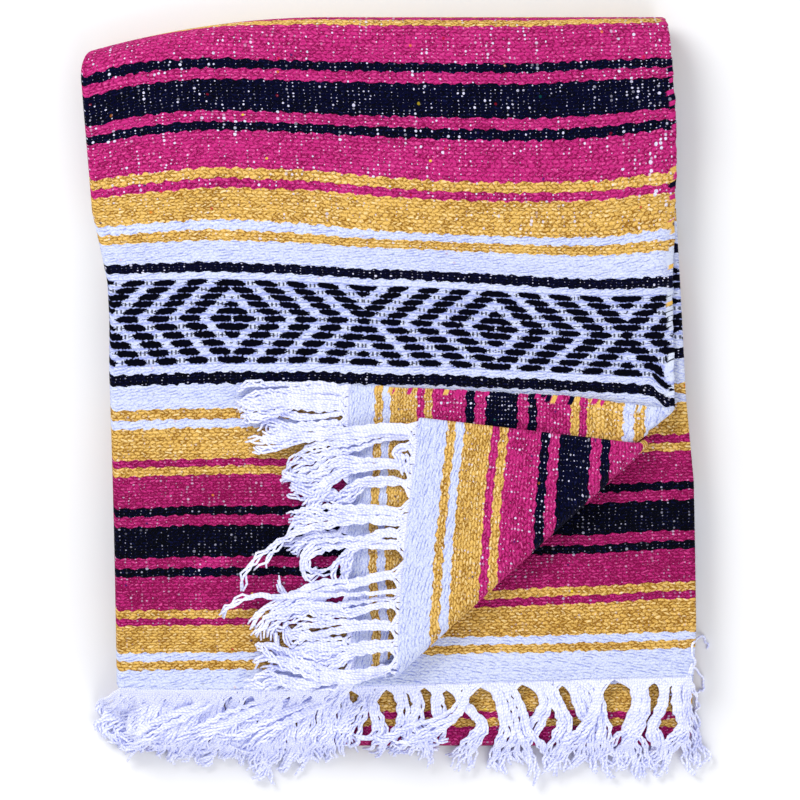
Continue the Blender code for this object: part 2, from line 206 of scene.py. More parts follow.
def turn_at(run, start, end):
    """How far round a turn each place along the cloth is, in radians."""
    return np.clip((run - start) / (end - start), 0, 1) * math.pi


def pile_at(run, layer):
    """y and z along the pile's way, for a layer of the triple."""
    down = layer * PITCH
    ab, bc, cd = turn_at(run, RUN_A, TURN_AB), turn_at(run, RUN_B, TURN_BC), turn_at(run, RUN_C, TURN_CD)
    outer, middle, inner = BACK_RADIUS - down, CREASE_Z - WALL / 2 - down, PITCH / 2 + down
    masks = [run <= RUN_A, run <= TURN_AB, run <= RUN_B, run <= TURN_BC, run <= RUN_C, run <= TURN_CD]
    y = np.select(
        masks,
        [TOP_END + run, BACK_Y + outer * np.sin(ab), BACK_Y - (run - TURN_AB),
         CREASE_Y - middle * np.sin(bc), CREASE_Y + (run - TURN_BC), BACK_Y + inner * np.sin(cd)],
        BACK_Y - (run - TURN_CD),
    )
    z = np.select(
        masks,
        [TOP_Z - down, BACK_Z + outer * np.cos(ab), WALL / 2 + down,
         CREASE_Z - middle * np.cos(bc), 2 * CREASE_Z - WALL / 2 - down, BACK_Z - inner * np.cos(cd)],
        BACK_Z + inner,
    )
    return y, z


def turned(x, y, z, level, axis):
    """The corner beyond the axis, turned back over the pile. level is the height that sets its roll."""
    start, end = np.array(axis.start), np.array(axis.end)
    along = (end - start) / np.linalg.norm(end - start)
    out = np.array((along[1], -along[0]))
    outward = (x - start[0]) * out[0] + (y - start[1]) * out[1]
    roll = FOLD_Z - level
    radius = FOLD_Z - z
    angle = np.clip(outward / roll, 0, math.pi)
    inward = np.maximum(0.0, outward - math.pi * roll)
    beyond = outward > 0
    shift = np.where(beyond, radius * np.sin(angle) - inward - outward, 0.0)
    slide = axis.slant * inward
    rise = np.where(beyond, radius * (1 - np.cos(angle)), 0.0)
    return x + out[0] * shift + along[0] * slide, y + out[1] * shift + along[1] * slide, z + rise, outward


# Soft troughs and ridges: middle, way along it in degrees, half length, half width and height
Crease = namedtuple("Crease", "x y angle length width height")
CREASES = [
    Crease(-130, 205, -12, 90, 16, 1.0),
    Crease(60, 225, 2, 130, 14, -0.8),
    Crease(-60, 140, 4, 120, 20, -0.8),
    Crease(120, 95, 172, 90, 16, 1.0),
    Crease(-150, 10, 80, 90, 18, -0.9),
    Crease(-70, -60, 95, 110, 22, 0.9),
    Crease(30, 60, 20, 110, 20, 0.8),
    Crease(-165, -130, 20, 50, 16, 1.1),
    Crease(-95, -175, 8, 60, 12, -0.9),
    Crease(150, -110, 40, 60, 14, 1.0),
    Crease(110, -175, -6, 70, 12, -0.9),
    Crease(185, 170, 88, 80, 12, -1.1),
    Crease(90, -80, 50, 80, 16, -0.8),
]


def relief_at(x, y):
    """The height of the soft troughs and ridges, and of the cloth's slow unevenness."""
    height = 0.35 * np.sin(x / (23 * MM) + 2 * np.sin(y / (61 * MM))) * np.sin(y / (31 * MM) + 1.3)
    height = height + 0.3 * np.sin(x / (47 * MM) + 1.1) * np.sin(y / (17 * MM) + 2 * np.sin(x / (53 * MM)))
    for crease in CREASES:
        angle = math.radians(crease.angle)
        dx, dy = x / MM - crease.x, y / MM - crease.y
        along = (dx * math.cos(angle) + dy * math.sin(angle)) / crease.length
        aside = (dy * math.cos(angle) - dx * math.sin(angle)) / crease.width
        height = height + crease.height * np.exp(-(along**2) - aside**2)
    return height * MM


def settle(x, y, z):
    """The real pile's place: its skew, its low back left corner, its soft crown and its unevenness."""
    skew = -SKEW * MM - SKEW_SLOPE * y - SKEW_CURVE * y * y * MM
    aside = np.maximum(0.0, (LOW_FROM_X - x) / LOW_WIDTH)
    along = smooth((y - LOW_FROM_Y) / (BACK_EDGE - LOW_FROM_Y))
    crown = 1 - CROWN * ((x / HALF_WIDTH) ** 4 + (y / HALF_LENGTH) ** 4)
    lift = relief_at(x, y) * np.clip(z / TOP_Z, 0, 1) ** 2
    return np.stack([x + skew, y - LOW_CORNER * aside**2 * along, z * crown + lift], axis=-1)


def turned_corner(x, y, z, run):
    """Layers 1 to 3 with their corner turned back, pulled out of square and sagging by its free edge."""
    flat_y = TOP_END + run
    by_end = np.clip(1 - run / PULL_REACH, 0, 1)
    by_side = np.clip((x - PULL_FROM_X) / PULL_REACH, 0, 1)
    past = smooth(turned(x, y, z, TOP_Z, TOP_AXIS)[3] / PULL_SOFTENING)
    top = turned(x + TOP_PULL[0] * past * by_side, y - TOP_PULL[1] * past * by_end, z, TOP_Z, TOP_AXIS)
    past = smooth(turned(x, y, z, INNER_Z, INNER_AXIS)[3] / PULL_SOFTENING)
    wider = INNER_PULL[0] * by_side * smooth((INNER_PULL_FROM - flat_y) / INNER_PULL_SOFTENING)
    longer = INNER_PULL[1] * past * by_end * (1 - by_side)
    inner = turned(x + wider, y - longer, z, INNER_Z, INNER_AXIS)
    before_axis = -top[3] / (3 * SAG_RUN)
    before_back = (BACK_Y - 2 * SAG_RUN - flat_y) / (4 * SAG_RUN)
    beyond = x - edge_at(INNER_RIGHT, flat_y) - WALL
    sag = SAG * smooth(beyond / SAG_RUN) * smooth(before_axis) * smooth(before_back)
    return (top[0], top[1], top[2] - sag), inner[:3]


def place(across, length, upper):
    """Points of the cloth's middle. upper says that it is the turned-back end, layers 1 to 3."""
    across, length = np.broadcast_arrays(np.asarray(across, float), np.asarray(length, float))
    later = smooth(across - 1) * (INNER_END - TOP_END) if upper else 0.0
    run = length + later
    x, layer = across_at(across, sides_at(run))
    y, z = pile_at(run, layer)
    if not upper:
        tilt = np.clip((run - TURN_CD) / (RUN_D - TURN_CD), 0, 1) ** 2
        return settle(x, y + MIDDLE_TILT * (x - MIDDLE_TILT_X) * tilt, z)
    top, inner = turned_corner(x, y, z, run)
    flat = (x, y, z)
    corner = [np.where(across < 1.5, top[i], inner[i]) for i in range(3)]
    return settle(*(np.where(run <= RUN_A, corner[i], flat[i]) for i in range(3)))


# How far away the points are that give the cloth's slopes: across a layer, across a fold, and along
STEP_OVER_LAYER = 0.0008
STEP_OVER_FOLD = 0.06
STEP_ALONG = 0.3 * MM


def normals(across, length, upper):
    """Outward ways of the cloth's face side, from points a small step away."""
    start = np.clip(np.ceil(across) - 1, 0, 4)
    step = np.where(start % 2 == 0, STEP_OVER_LAYER, STEP_OVER_FOLD)
    low = place(np.maximum(across - step, start), length, upper)
    high = place(np.minimum(across + step, start + 1), length, upper)
    before = place(across, length - STEP_ALONG, upper)
    after = place(across, length + STEP_ALONG, upper)
    return unit(np.cross(after - before, high - low))


def steps(first, last, size):
    count = max(1, round(abs(last - first) / size))
    return list(np.linspace(first, last, count + 1))


def joined(*lists):
    """Lists of stations one after the other, without the doubled ends."""
    found = list(lists[0])
    for more in lists[1:]:
        found += list(more)[1:]
    return np.array(found)


def rim_shares(values, first_free, last_free):
    """How thick the cloth is at each station: full inside, thin at the very edge of a free end."""
    share = np.ones(len(values))
    for is_free, edge in ((first_free, values[0]), (last_free, values[-1])):
        if is_free:
            inside = np.sqrt(np.clip(np.abs(values - edge) / RIM_REACH, 0, 1))
            share = np.minimum(share, RIM_SHARE + (1 - RIM_SHARE) * inside)
    return share


# The shell: half its thickness, and how it thins over the last of a free edge
HALF_CLOTH = 1.42 * MM
RIM_REACH = 1.6 * MM
RIM_SHARE = 0.35
BAKE_MARGIN = 0.005

# The cloth is painted palest on the top layers and towards the back, darker low in the pile and towards the
# front
PALENESS_FROM = -90 * MM
PALENESS_OVER = 200 * MM
PALENESS_ABOVE = 40 * MM
PALENESS_OF_TOP = 0.95

# How the hand-woven stripes run against an even repeat, in pixels of the photograph from the fringed end
Drift = namedtuple("Drift", "at pattern")
DRIFTS = [
    Drift(-40, -48), Drift(28, 22), Drift(46, 41), Drift(73, 71), Drift(123, 120), Drift(191, 188),
    Drift(238, 237), Drift(270, 267), Drift(290, 286), Drift(326, 322), Drift(375, 373), Drift(416, 418),
    Drift(422, 426), Drift(432, 437), Drift(453, 462), Drift(474, 481), Drift(503, 511), Drift(521, 527),
    Drift(559, 560), Drift(627, 628), Drift(665, 661), Drift(760, 756),
]
REPEAT = 440 * PIXEL
BLACK_MIDDLE = 154 * PIXEL

SHOWN = 745 * PIXEL
SHOWN_LAG = 4 * PIXEL
CREASE_LEAD = 40 * PIXEL

# The free side edges are uneven: the picks turn there in small loops, which move the stations by the edge
RAGGED = 0.45 * MM
RAGGED_SHARES = (1.0, 0.8, 0.5, 0.2)
PICK_LOOP = 9 * MM
RAGGED_RNG = np.random.default_rng(3)


def pattern_at(length):
    """The stripes' own measure along the cloth, for a place along it."""
    at, pattern = [row.at for row in DRIFTS], [row.pattern for row in DRIFTS]
    near = np.interp(length / PIXEL, at, pattern) * PIXEL
    far = np.interp((RUN_D - length) / PIXEL, at, pattern) * PIXEL
    mirror = 2 * BLACK_MIDDLE + 6 * REPEAT
    crease = 3 * REPEAT + BLACK_MIDDLE + CREASE_LEAD
    start = SHOWN - SHOWN_LAG
    last = RUN_D - SHOWN
    hidden = np.interp(length, [SHOWN, (RUN_B + TURN_BC) / 2, last], [start, crease, mirror - start])
    return np.where(length < SHOWN, near, np.where(length > last, mirror - far, hidden))


def add_map(mesh, name, places):
    """A map of the mesh, given the place in it of each point."""
    corners = np.empty(len(mesh.loops), dtype=np.int64)
    mesh.loops.foreach_get("vertex_index", corners)
    mesh.uv_layers.new(name=name).data.foreach_set("uv", places[corners].astype(np.float32).ravel())


def add_object(name, data):
    obj = bpy.data.objects.new(name, data)
    bpy.context.scene.collection.objects.link(obj)
    return obj


def fray(middle, edge, inner, lengths):
    """Move the stations by a free side edge out in small loops."""
    outward = unit(middle[edge] - middle[inner])
    loops = RAGGED * np.sin(lengths / PICK_LOOP * math.pi) ** 2
    loops = loops + smoothed(RAGGED_RNG.normal(0, RAGGED, len(lengths)), 1)
    away = 1 if edge == 0 else -1
    for number, share in enumerate(RAGGED_SHARES):
        middle[edge + away * number] += outward * (loops * share)[:, None]


def shell_faces(columns, rows):
    """Both faces of a grid of points, and the rim that joins them."""
    index = np.arange(columns * rows).reshape(columns, rows)
    quads = np.stack([index[:-1, :-1], index[:-1, 1:], index[1:, 1:], index[1:, :-1]], axis=-1).reshape(-1, 4)
    ring = np.concatenate([index[:-1, 0], index[-1, :-1], index[:0:-1, -1], index[0, :0:-1]])
    following = np.roll(ring, -1)
    under = columns * rows
    rim = np.stack([ring, following, following + under, ring + under], axis=-1)
    return np.concatenate([quads, quads[:, ::-1] + under, rim])


def paleness_of(points):
    back = smooth((points[:, 1] - PALENESS_FROM) / PALENESS_OVER)
    return np.minimum(back + PALENESS_OF_TOP * (points[:, 2] > PALENESS_ABOVE), 1)


def make_sheet(plan):
    """A closed shell on the folded cloth's middle: both faces, thin at its free edges, with its cloth map."""
    a, v = np.meshgrid(plan.across, plan.lengths, indexing="ij")
    columns, rows = a.shape
    middle = place(a, v, plan.upper)
    normal = normals(a, v, plan.upper)
    width = reach_along(middle[:, rows // 2])
    free = plan.free
    thick = np.minimum.outer(rim_shares(width, free.right, free.left),
                             rim_shares(plan.lengths, free.start, free.end)) * HALF_CLOTH
    offset = normal * thick[..., None]
    if free.right:
        fray(middle, 0, 4, plan.lengths)
    if free.left:
        fray(middle, -1, -8, plan.lengths)
    points = np.concatenate([(middle + offset).reshape(-1, 3), (middle - offset).reshape(-1, 3)])
    mesh = bpy.data.meshes.new(plan.name)
    mesh.from_pydata(points.tolist(), [], shell_faces(columns, rows).tolist())
    pattern = pattern_at(v)
    if plan.droop is not None:
        pattern = pattern + plan.droop(middle, v)
    cloth = np.stack([np.broadcast_to(width[:, None], a.shape), pattern], axis=-1).reshape(-1, 2)
    add_map(mesh, "cloth", np.concatenate([cloth, cloth]))
    bake_across = np.linspace(BAKE_MARGIN, 0.5 - BAKE_MARGIN, columns)
    bake = np.meshgrid(bake_across, np.linspace(BAKE_MARGIN, 1 - BAKE_MARGIN, rows), indexing="ij")
    bake = np.stack(bake, axis=-1).reshape(-1, 2)
    add_map(mesh, "OFBake", np.concatenate([bake, bake + (0.5, 0)]))
    paleness = mesh.attributes.new("paleness", "FLOAT", "POINT")
    paleness.data.foreach_set("value", paleness_of(points).astype(np.float32))
    mesh.shade_smooth()
    return add_object(plan.name, mesh)


# Patterns as arithmetic on the fields of a node tree

def operation(kind, swapped=False):
    """A method of Field that does one operation of node arithmetic with another number."""
    def method(self, other):
        return math_field(kind, other, self) if swapped else math_field(kind, self, other)
    return method


class Field:
    """A number or colour at every point of a surface, which node arithmetic can be done on."""

    tree = None
    __add__ = __radd__ = operation("ADD")
    __mul__ = __rmul__ = operation("MULTIPLY")
    __sub__, __rsub__ = operation("SUBTRACT"), operation("SUBTRACT", swapped=True)
    __truediv__, __rtruediv__ = operation("DIVIDE"), operation("DIVIDE", swapped=True)

    def __init__(self, socket):
        self.socket = socket


def feed(node, index, value):
    if isinstance(value, Field):
        Field.tree.links.new(value.socket, node.inputs[index])
    elif value is not None:
        node.inputs[index].default_value = value


def new_node(kind, **settings):
    node = Field.tree.nodes.new(kind)
    for name, value in settings.items():
        setattr(node, name, value)
    return node


def math_field(operation, *values):
    node = new_node("ShaderNodeMath", operation=operation)
    for index, value in enumerate(values):
        feed(node, index, value)
    return Field(node.outputs[0])


floor = partial(math_field, "FLOOR")
fraction = partial(math_field, "FRACT")
sine = partial(math_field, "SINE")
absolute = partial(math_field, "ABSOLUTE")
root = partial(math_field, "SQRT")
least = partial(math_field, "MINIMUM")
most = partial(math_field, "MAXIMUM")
less = partial(math_field, "LESS_THAN")
greater = partial(math_field, "GREATER_THAN")
power = partial(math_field, "POWER")
pingpong = partial(math_field, "PINGPONG")


def clamp(field):
    return most(least(field, 1.0), 0.0)


def ramp(field, low, high, first=0.0, last=1.0):
    """first up to low, last from high on, smooth between."""
    node = new_node("ShaderNodeMapRange", interpolation_type="SMOOTHSTEP")
    for index, value in enumerate((field, low, high, first, last)):
        feed(node, index, value)
    return Field(node.outputs[0])


def vector(x, y, z=0.0):
    node = new_node("ShaderNodeCombineXYZ")
    for index, value in enumerate((x, y, z)):
        feed(node, index, value)
    return Field(node.outputs[0])


def noise(x, y, detail=2.0, seed=0.0):
    """Smooth noise between 0 and 1 whose grain is one unit of x and y."""
    node = new_node("ShaderNodeTexNoise", noise_dimensions="3D")
    feed(node, 0, vector(x, y, seed))
    node.inputs["Scale"].default_value = 1.0
    node.inputs["Detail"].default_value = detail
    return Field(node.outputs["Fac"])


def chance(x, y, seed=0.0):
    """An even random number for each pair of whole numbers."""
    node = new_node("ShaderNodeTexWhiteNoise", noise_dimensions="3D")
    feed(node, 0, vector(x, y, seed))
    return Field(node.outputs["Value"])


def blend(share, first, last, kind="MIX"):
    """Colours mixed by a share."""
    node = new_node("ShaderNodeMix", data_type="RGBA", blend_type=kind)
    feed(node, 0, share)
    for index, colour in ((6, first), (7, last)):
        if isinstance(colour, Field):
            Field.tree.links.new(colour.socket, node.inputs[index])
        else:
            node.inputs[index].default_value = (*colour, 1.0)
    return Field(node.outputs[2])


def blend_value(share, first, last):
    return first + (last - first) * share


def linear(red, green, blue):
    """A colour given as on a screen, 0 to 255, as linear shares."""
    return tuple((value / 255) ** 2.2 for value in (red, green, blue))


# Each colour comes in three: its own, a deep one for painted shade and its darker yarns, and a light one for
# painted highlights and its paler fibres
PINK = linear(198, 46, 124)
PINK_DEEP = linear(128, 12, 70)
PINK_LIGHT = linear(240, 104, 170)
YELLOW = linear(236, 189, 99)
YELLOW_DEEP = linear(146, 98, 26)
YELLOW_LIGHT = linear(250, 230, 182)
WHITE = linear(214, 221, 243)
WHITE_DEEP = linear(148, 158, 224)
WHITE_LIGHT = linear(236, 240, 250)
BLACK = linear(4, 8, 40)
BLACK_DEEP = linear(1, 1, 9)
BLACK_LIGHT = linear(30, 36, 78)

# From the middle of a black group to the middle of a diamond band, in pixels: colour, and where it ends
Stripe = namedtuple("Stripe", "colour end")
STRIPES = [
    Stripe("black", 15), Stripe("pink", 25), Stripe("black", 34), Stripe("pink", 67), Stripe("yellow", 75),
    Stripe("pink", 83), Stripe("yellow", 113), Stripe("white", 122), Stripe("yellow", 132),
    Stripe("white", 157), Stripe("black", 168), Stripe("white", 220),
]
COLOURS = {
    "pink": (PINK, PINK_DEEP, PINK_LIGHT),
    "yellow": (YELLOW, YELLOW_DEEP, YELLOW_LIGHT),
    "white": (WHITE, WHITE_DEEP, WHITE_LIGHT),
    "black": (BLACK, BLACK_DEEP, BLACK_LIGHT),
}
HALF_REPEAT = 220
END_BAND = 23 * PIXEL
FAR_BAND = 2 * BLACK_MIDDLE + 6 * REPEAT - END_BAND

# The weave, in millimetres
PICK = 2.3
WARP = 4.4
SCALLOP = 11.2
WARP_PITCH = 3.7
TO_MM = 1000.0
BAND_HALF = 44 * 0.71
BAND_MIDDLE = 127.0

# Yarns carried along the selvedge: the length of a loop, and how far off the stripe that it comes from is
CARRIED_LOOP = 3.9
CARRIED_FROM = 90.0

# Rare flecks of other yarn, each colour from its own share of the chances on
Fleck = namedtuple("Fleck", "above colour")
FLECKS = [
    Fleck(0.0, linear(36, 26, 88)), Fleck(0.4, linear(186, 30, 52)), Fleck(0.65, linear(226, 128, 36)),
    Fleck(0.82, linear(246, 216, 40)), Fleck(0.95, linear(20, 110, 100)),
]
FLECK_CHANCE = 0.0035
DOT = linear(230, 228, 255)
CLOTH_GLOSS = {"Roughness": 0.95, "Specular IOR Level": 0.02, "Sheen Weight": 0.03, "Sheen Roughness": 0.6}

# The fringe's yarn: its own colour, and a deep lilac for painted shade in its ply grooves and its darker
# stretches. A faint lilac glow, painted on with emission, lifts the yarn's shade
YARN = linear(243, 244, 252)
YARN_DEEP = linear(160, 167, 226)
PLY_TURN = 2.6
YARN_GLOSS_AND_PAINTED_GLOW = {
    "Roughness": 0.9, "Specular IOR Level": 0.2, "Sheen Weight": 0.15,
    "Emission Color": (0.3, 0.36, 1.0, 1), "Emission Strength": 0.12,
}

# The figured band: concentric diamonds, in steps of its pattern
DIAMOND_REPEAT = 262 * 0.71
DIAMOND_COLUMNS = 34
DIAMOND_ROWS = 5.5
RING = 4.0
DASH_HALF = 1.36
DASH_START = 0.2
DASH_HEIGHT = 2.7


def stripe_colours(place_share, pick_value):
    """A colour at a share of the way from a black group to a diamond band, picked for each stripe."""
    node = new_node("ShaderNodeValToRGB")
    node.color_ramp.interpolation = "CONSTANT"
    start = 0.0
    for number, stripe in enumerate(STRIPES):
        stop = node.color_ramp.elements[0] if number == 0 else node.color_ramp.elements.new(start)
        stop.position = start
        stop.color = (*pick_value(stripe.colour), 1)
        start = stripe.end / HALF_REPEAT
    while len(node.color_ramp.elements) > len(STRIPES):
        node.color_ramp.elements.remove(node.color_ramp.elements[-1])
    feed(node, 0, place_share)
    return Field(node.outputs[0])


def stripe_ramp(place_share, shade):
    return stripe_colours(place_share, lambda colour: COLOURS[colour][shade])


def stripe_mask(place_share, wanted):
    """1 on the stripes of one colour."""
    return stripe_colours(place_share, lambda colour: (float(colour == wanted),) * 3)


def in_ring(ring):
    """How far from the middle of its dash a point is along its ring."""
    return fraction((ring - DASH_START - DASH_HALF + RING / 2) / RING) * RING - RING / 2


def diamond_field(u, v, lean):
    """Black share of the diamond band: u and v in millimetres, v from the band's middle.

    Black dashes lie on rings round each diamond's middle. Its middle row lies higher towards the
    left, where lean is 1, so the upper rows are closer there and their dashes meet.
    """
    column = absolute(fraction(u / DIAMOND_REPEAT + 0.5) - 0.5) * DIAMOND_COLUMNS
    rise = lean * 3
    upper_step = (BAND_HALF - rise) / DIAMOND_ROWS
    lower_step = (BAND_HALF + rise) / DIAMOND_ROWS
    over = v - rise
    row = most(over, 0) / upper_step + least(over, 0) / lower_step
    number = floor(row + 0.5)
    height = (row - number) * 2
    is_upper = greater(number, 0.5)
    row_step = lower_step + (upper_step - lower_step) * is_upper
    outward = height * (greater(row, 0) * 2 - 1)
    place_shift = (chance(number, 3) - 0.5) * 0.2
    ragged = (noise(u / 4, v / 3, 1, 31) - 0.5) * 0.7
    ragged = ragged + (noise(u / 1.5, v / 0.8, 1, 37) - 0.5) * 1.1
    slant = outward * (is_upper * 0.2 + 0.28)
    ring = column + absolute(number) + slant + ragged + place_shift
    along = in_ring(ring)
    half = DASH_HALF + 0.1 - is_upper * lean * 0.16
    body = power(clamp(1 - power(absolute(along) / half, 3)), 0.45)
    reach = 2 * DASH_HEIGHT / row_step
    swell = (noise(u / 2, v / 1.6, 1, 33) - 0.5) * 1 - is_upper * lean * 0.04
    dash = ramp(body * reach + swell - absolute(height), -0.06, 0.1)
    upright = column + absolute(number) + place_shift
    gap = RING / 2 - absolute(in_ring(upright))
    bit = ramp(gap, 0.12, 0.2) * ramp(0.44 - gap, 0, 0.1) * ramp(0.62 - absolute(height), 0, 0.2)
    bit = bit * greater(column, 0.6)
    bit = bit * greater(chance(floor(u / 7), number, 35), 0.4)
    heart = greater(0.4, ring) * ramp(column, 0.1, 0.2) * greater(0.5, absolute(number))
    # Where the band's white floats end, which takes painted shade and a dip in the bump
    float_edge = ramp(absolute(height), 0.55, 1) + ramp(gap, 0.45, 0.75) * 0.5
    return clamp(most(most(dash, bit * 0.85), heart)), float_edge


def begin_material(name):
    """A new material whose tree takes the nodes from here on, with its shader and its map's two measures."""
    material = bpy.data.materials.new(name)
    material.use_nodes = True
    Field.tree = material.node_tree
    split = new_node("ShaderNodeSeparateXYZ")
    Field.tree.links.new(new_node("ShaderNodeUVMap", uv_map="cloth").outputs[0], split.inputs[0])
    shader = material.node_tree.nodes["Principled BSDF"]
    return material, shader, Field(split.outputs[0]), Field(split.outputs[1])


def finish_material(shader, colour, height, strength, distance, values):
    """Join a colour and a height to the shader, and set what is the same all over."""
    Field.tree.links.new(colour.socket, shader.inputs["Base Color"])
    for name, value in values.items():
        shader.inputs[name].default_value = value
    bump = new_node("ShaderNodeBump")
    bump.inputs["Strength"].default_value = strength
    bump.inputs["Distance"].default_value = distance
    Field.tree.links.new(height.socket, bump.inputs["Height"])
    Field.tree.links.new(bump.outputs[0], shader.inputs["Normal"])


Weave = namedtuple("Weave", "number in_pick grain tone gleam")


def weave_fields(u, v):
    """The picks, which wave over and under the warps in slanting grains of uneven length."""
    u_wave = u + (noise(u / 5, v / 2.9, 1, 41) - 0.5) * 5
    v_wave = v + (noise(u / 7, v / 4, 1, 43) - 0.5) * 1.7
    number = floor(v_wave / PICK)
    in_pick = fraction(v_wave / PICK)
    brick = u_wave / WARP + number * 0.5 + (chance(number, 1) - 0.5) * 0.5
    grain_number = floor(brick)
    in_grain = fraction(brick)
    tone = chance(grain_number, number, 2)
    # How strongly each grain takes its painted highlight
    gleam = ramp(chance(grain_number, number, 4), 0.35, 1)
    slant = (in_grain - 0.5) * (0.8 + tone * 1.1) * (fraction(number * 0.5) * 3.6 - 1)
    in_yarn = (in_pick - 0.5) * 2 - slant
    roundness = clamp(1 - in_yarn * in_yarn * 1.05)
    swell = 1 - power(absolute(in_grain - 0.5) * 2, 3) * 0.8
    return Weave(number, in_pick, roundness * swell, tone, gleam)


Stripes = namedtuple("Stripes", "edge in_end shades is_black is_white is_yellow")


def repeat_share(edge):
    """The share of the way from a black group's middle to a diamond band's."""
    return pingpong(edge - BLACK_MIDDLE * TO_MM, REPEAT * TO_MM / 2) / (HALF_REPEAT * PIXEL * TO_MM)


def stripe_fields(u, v):
    """The stripes, with scalloped edges."""
    scallop = sine(u * (2 * math.pi / SCALLOP) + noise(u / 30, v / 9, 0, 5) * 9) * 0.55
    wobble = (noise(u / 2.4, v / 7, 2, 9) - 0.5) * 2.4
    edge = v + scallop + wobble
    share = repeat_share(edge)
    in_end = most(less(edge, END_BAND * TO_MM), greater(edge, FAR_BAND * TO_MM))
    shades = [blend(in_end, stripe_ramp(share, shade), white) for shade, white in enumerate(COLOURS["white"])]
    is_black, is_yellow = (stripe_mask(share, name) * (1 - in_end) for name in ("black", "yellow"))
    return Stripes(edge, in_end, shades, is_black, most(stripe_mask(share, "white"), in_end), is_yellow)


Band = namedtuple("Band", "inside figure float_edge")


def band_fields(u, v):
    """The diamond band, once a repeat."""
    band_at = (fraction((v - BLACK_MIDDLE * TO_MM) / (REPEAT * TO_MM)) - 0.5) * (REPEAT * TO_MM)
    inside = ramp(BAND_HALF - absolute(band_at), -0.4, 0.3)
    lean = ramp(u, 90, 170) - ramp(u, 205, 290) * 0.5
    figure, float_edge = diamond_field(u - BAND_MIDDLE, band_at, lean)
    return Band(inside, figure * inside, float_edge)


def warp_dots(u, v, weave, selvedge):
    """White warps that show between the picks, in columns."""
    warp_at = u / WARP_PITCH
    warp_number = floor(warp_at + 0.5)
    jitter = (chance(warp_number, weave.number, 51) - 0.5) * 0.32
    dot_x = absolute(fraction(warp_at + 0.5) - 0.5 + jitter * 1.1) * WARP_PITCH
    dot_y = absolute(weave.in_pick - 0.5 + jitter) * PICK
    tone = chance(warp_number, weave.number, 6)
    size = 0.15 + power(chance(warp_number, weave.number, 8), 2) * 0.85
    size = size + selvedge * 0.12 * greater(tone, 0.5)
    column_tone = ramp(noise(warp_number * 0.77, v / 16, 1, 53), 0.4, 0.62, 0.35, 1.15)
    spread = ramp(noise(u / 50, v / 26, 2, 15), 0.36, 0.62, 0.62, 0.95) * column_tone
    spread = spread + selvedge * 0.25
    ragged = (noise(u / 0.7, v / 0.6, 0, 55) - 0.5) * 0.2
    dot = ramp(size * spread + ragged - root(dot_x * dot_x * 0.8 + dot_y * dot_y), -0.08, 0.2)
    return dot * ramp(tone, 0.1, 0.75, 0.25, 1)


def carried_loops(u, v, stripes, fibre):
    """Yarns of other stripes, carried along the selvedge in slanting loops: their share and their colour."""
    loop_at = (v + u * 0.35) / CARRIED_LOOP
    number = floor(loop_at)
    colour = stripe_ramp(repeat_share(stripes.edge + (chance(number, 71) - 0.5) * CARRIED_FROM), 0)
    is_loop = ramp(absolute(fraction(loop_at) - 0.5), 0.48, 0.36) * greater(chance(number, 73), 0.5)
    reach = 2.4 + chance(number, 75) * 4.5
    return is_loop * ramp(u - reach + (fibre - 0.5) * 5, 0.8, -0.8) * (1 - stripes.in_end), colour


def flecks(u, weave, fibre):
    """Rare flecks of other yarn: their share and their colour."""
    fleck_at = u / 2.6 + weave.number * 0.37
    cell = floor(fleck_at)
    fleck_x = absolute(fraction(fleck_at) - 0.5)
    fleck_y = absolute(weave.in_pick - 0.5)
    shape = ramp(fleck_x * fleck_x + fleck_y * fleck_y + (fibre - 0.5) * 0.2, 0.2, 0.08)
    which = chance(cell, weave.number, 21)
    hue = FLECKS[0].colour
    for fleck in FLECKS[1:]:
        hue = blend(greater(which, fleck.above), hue, fleck.colour)
    return greater(chance(cell, weave.number, 20), 1 - FLECK_CHANCE) * shape, hue


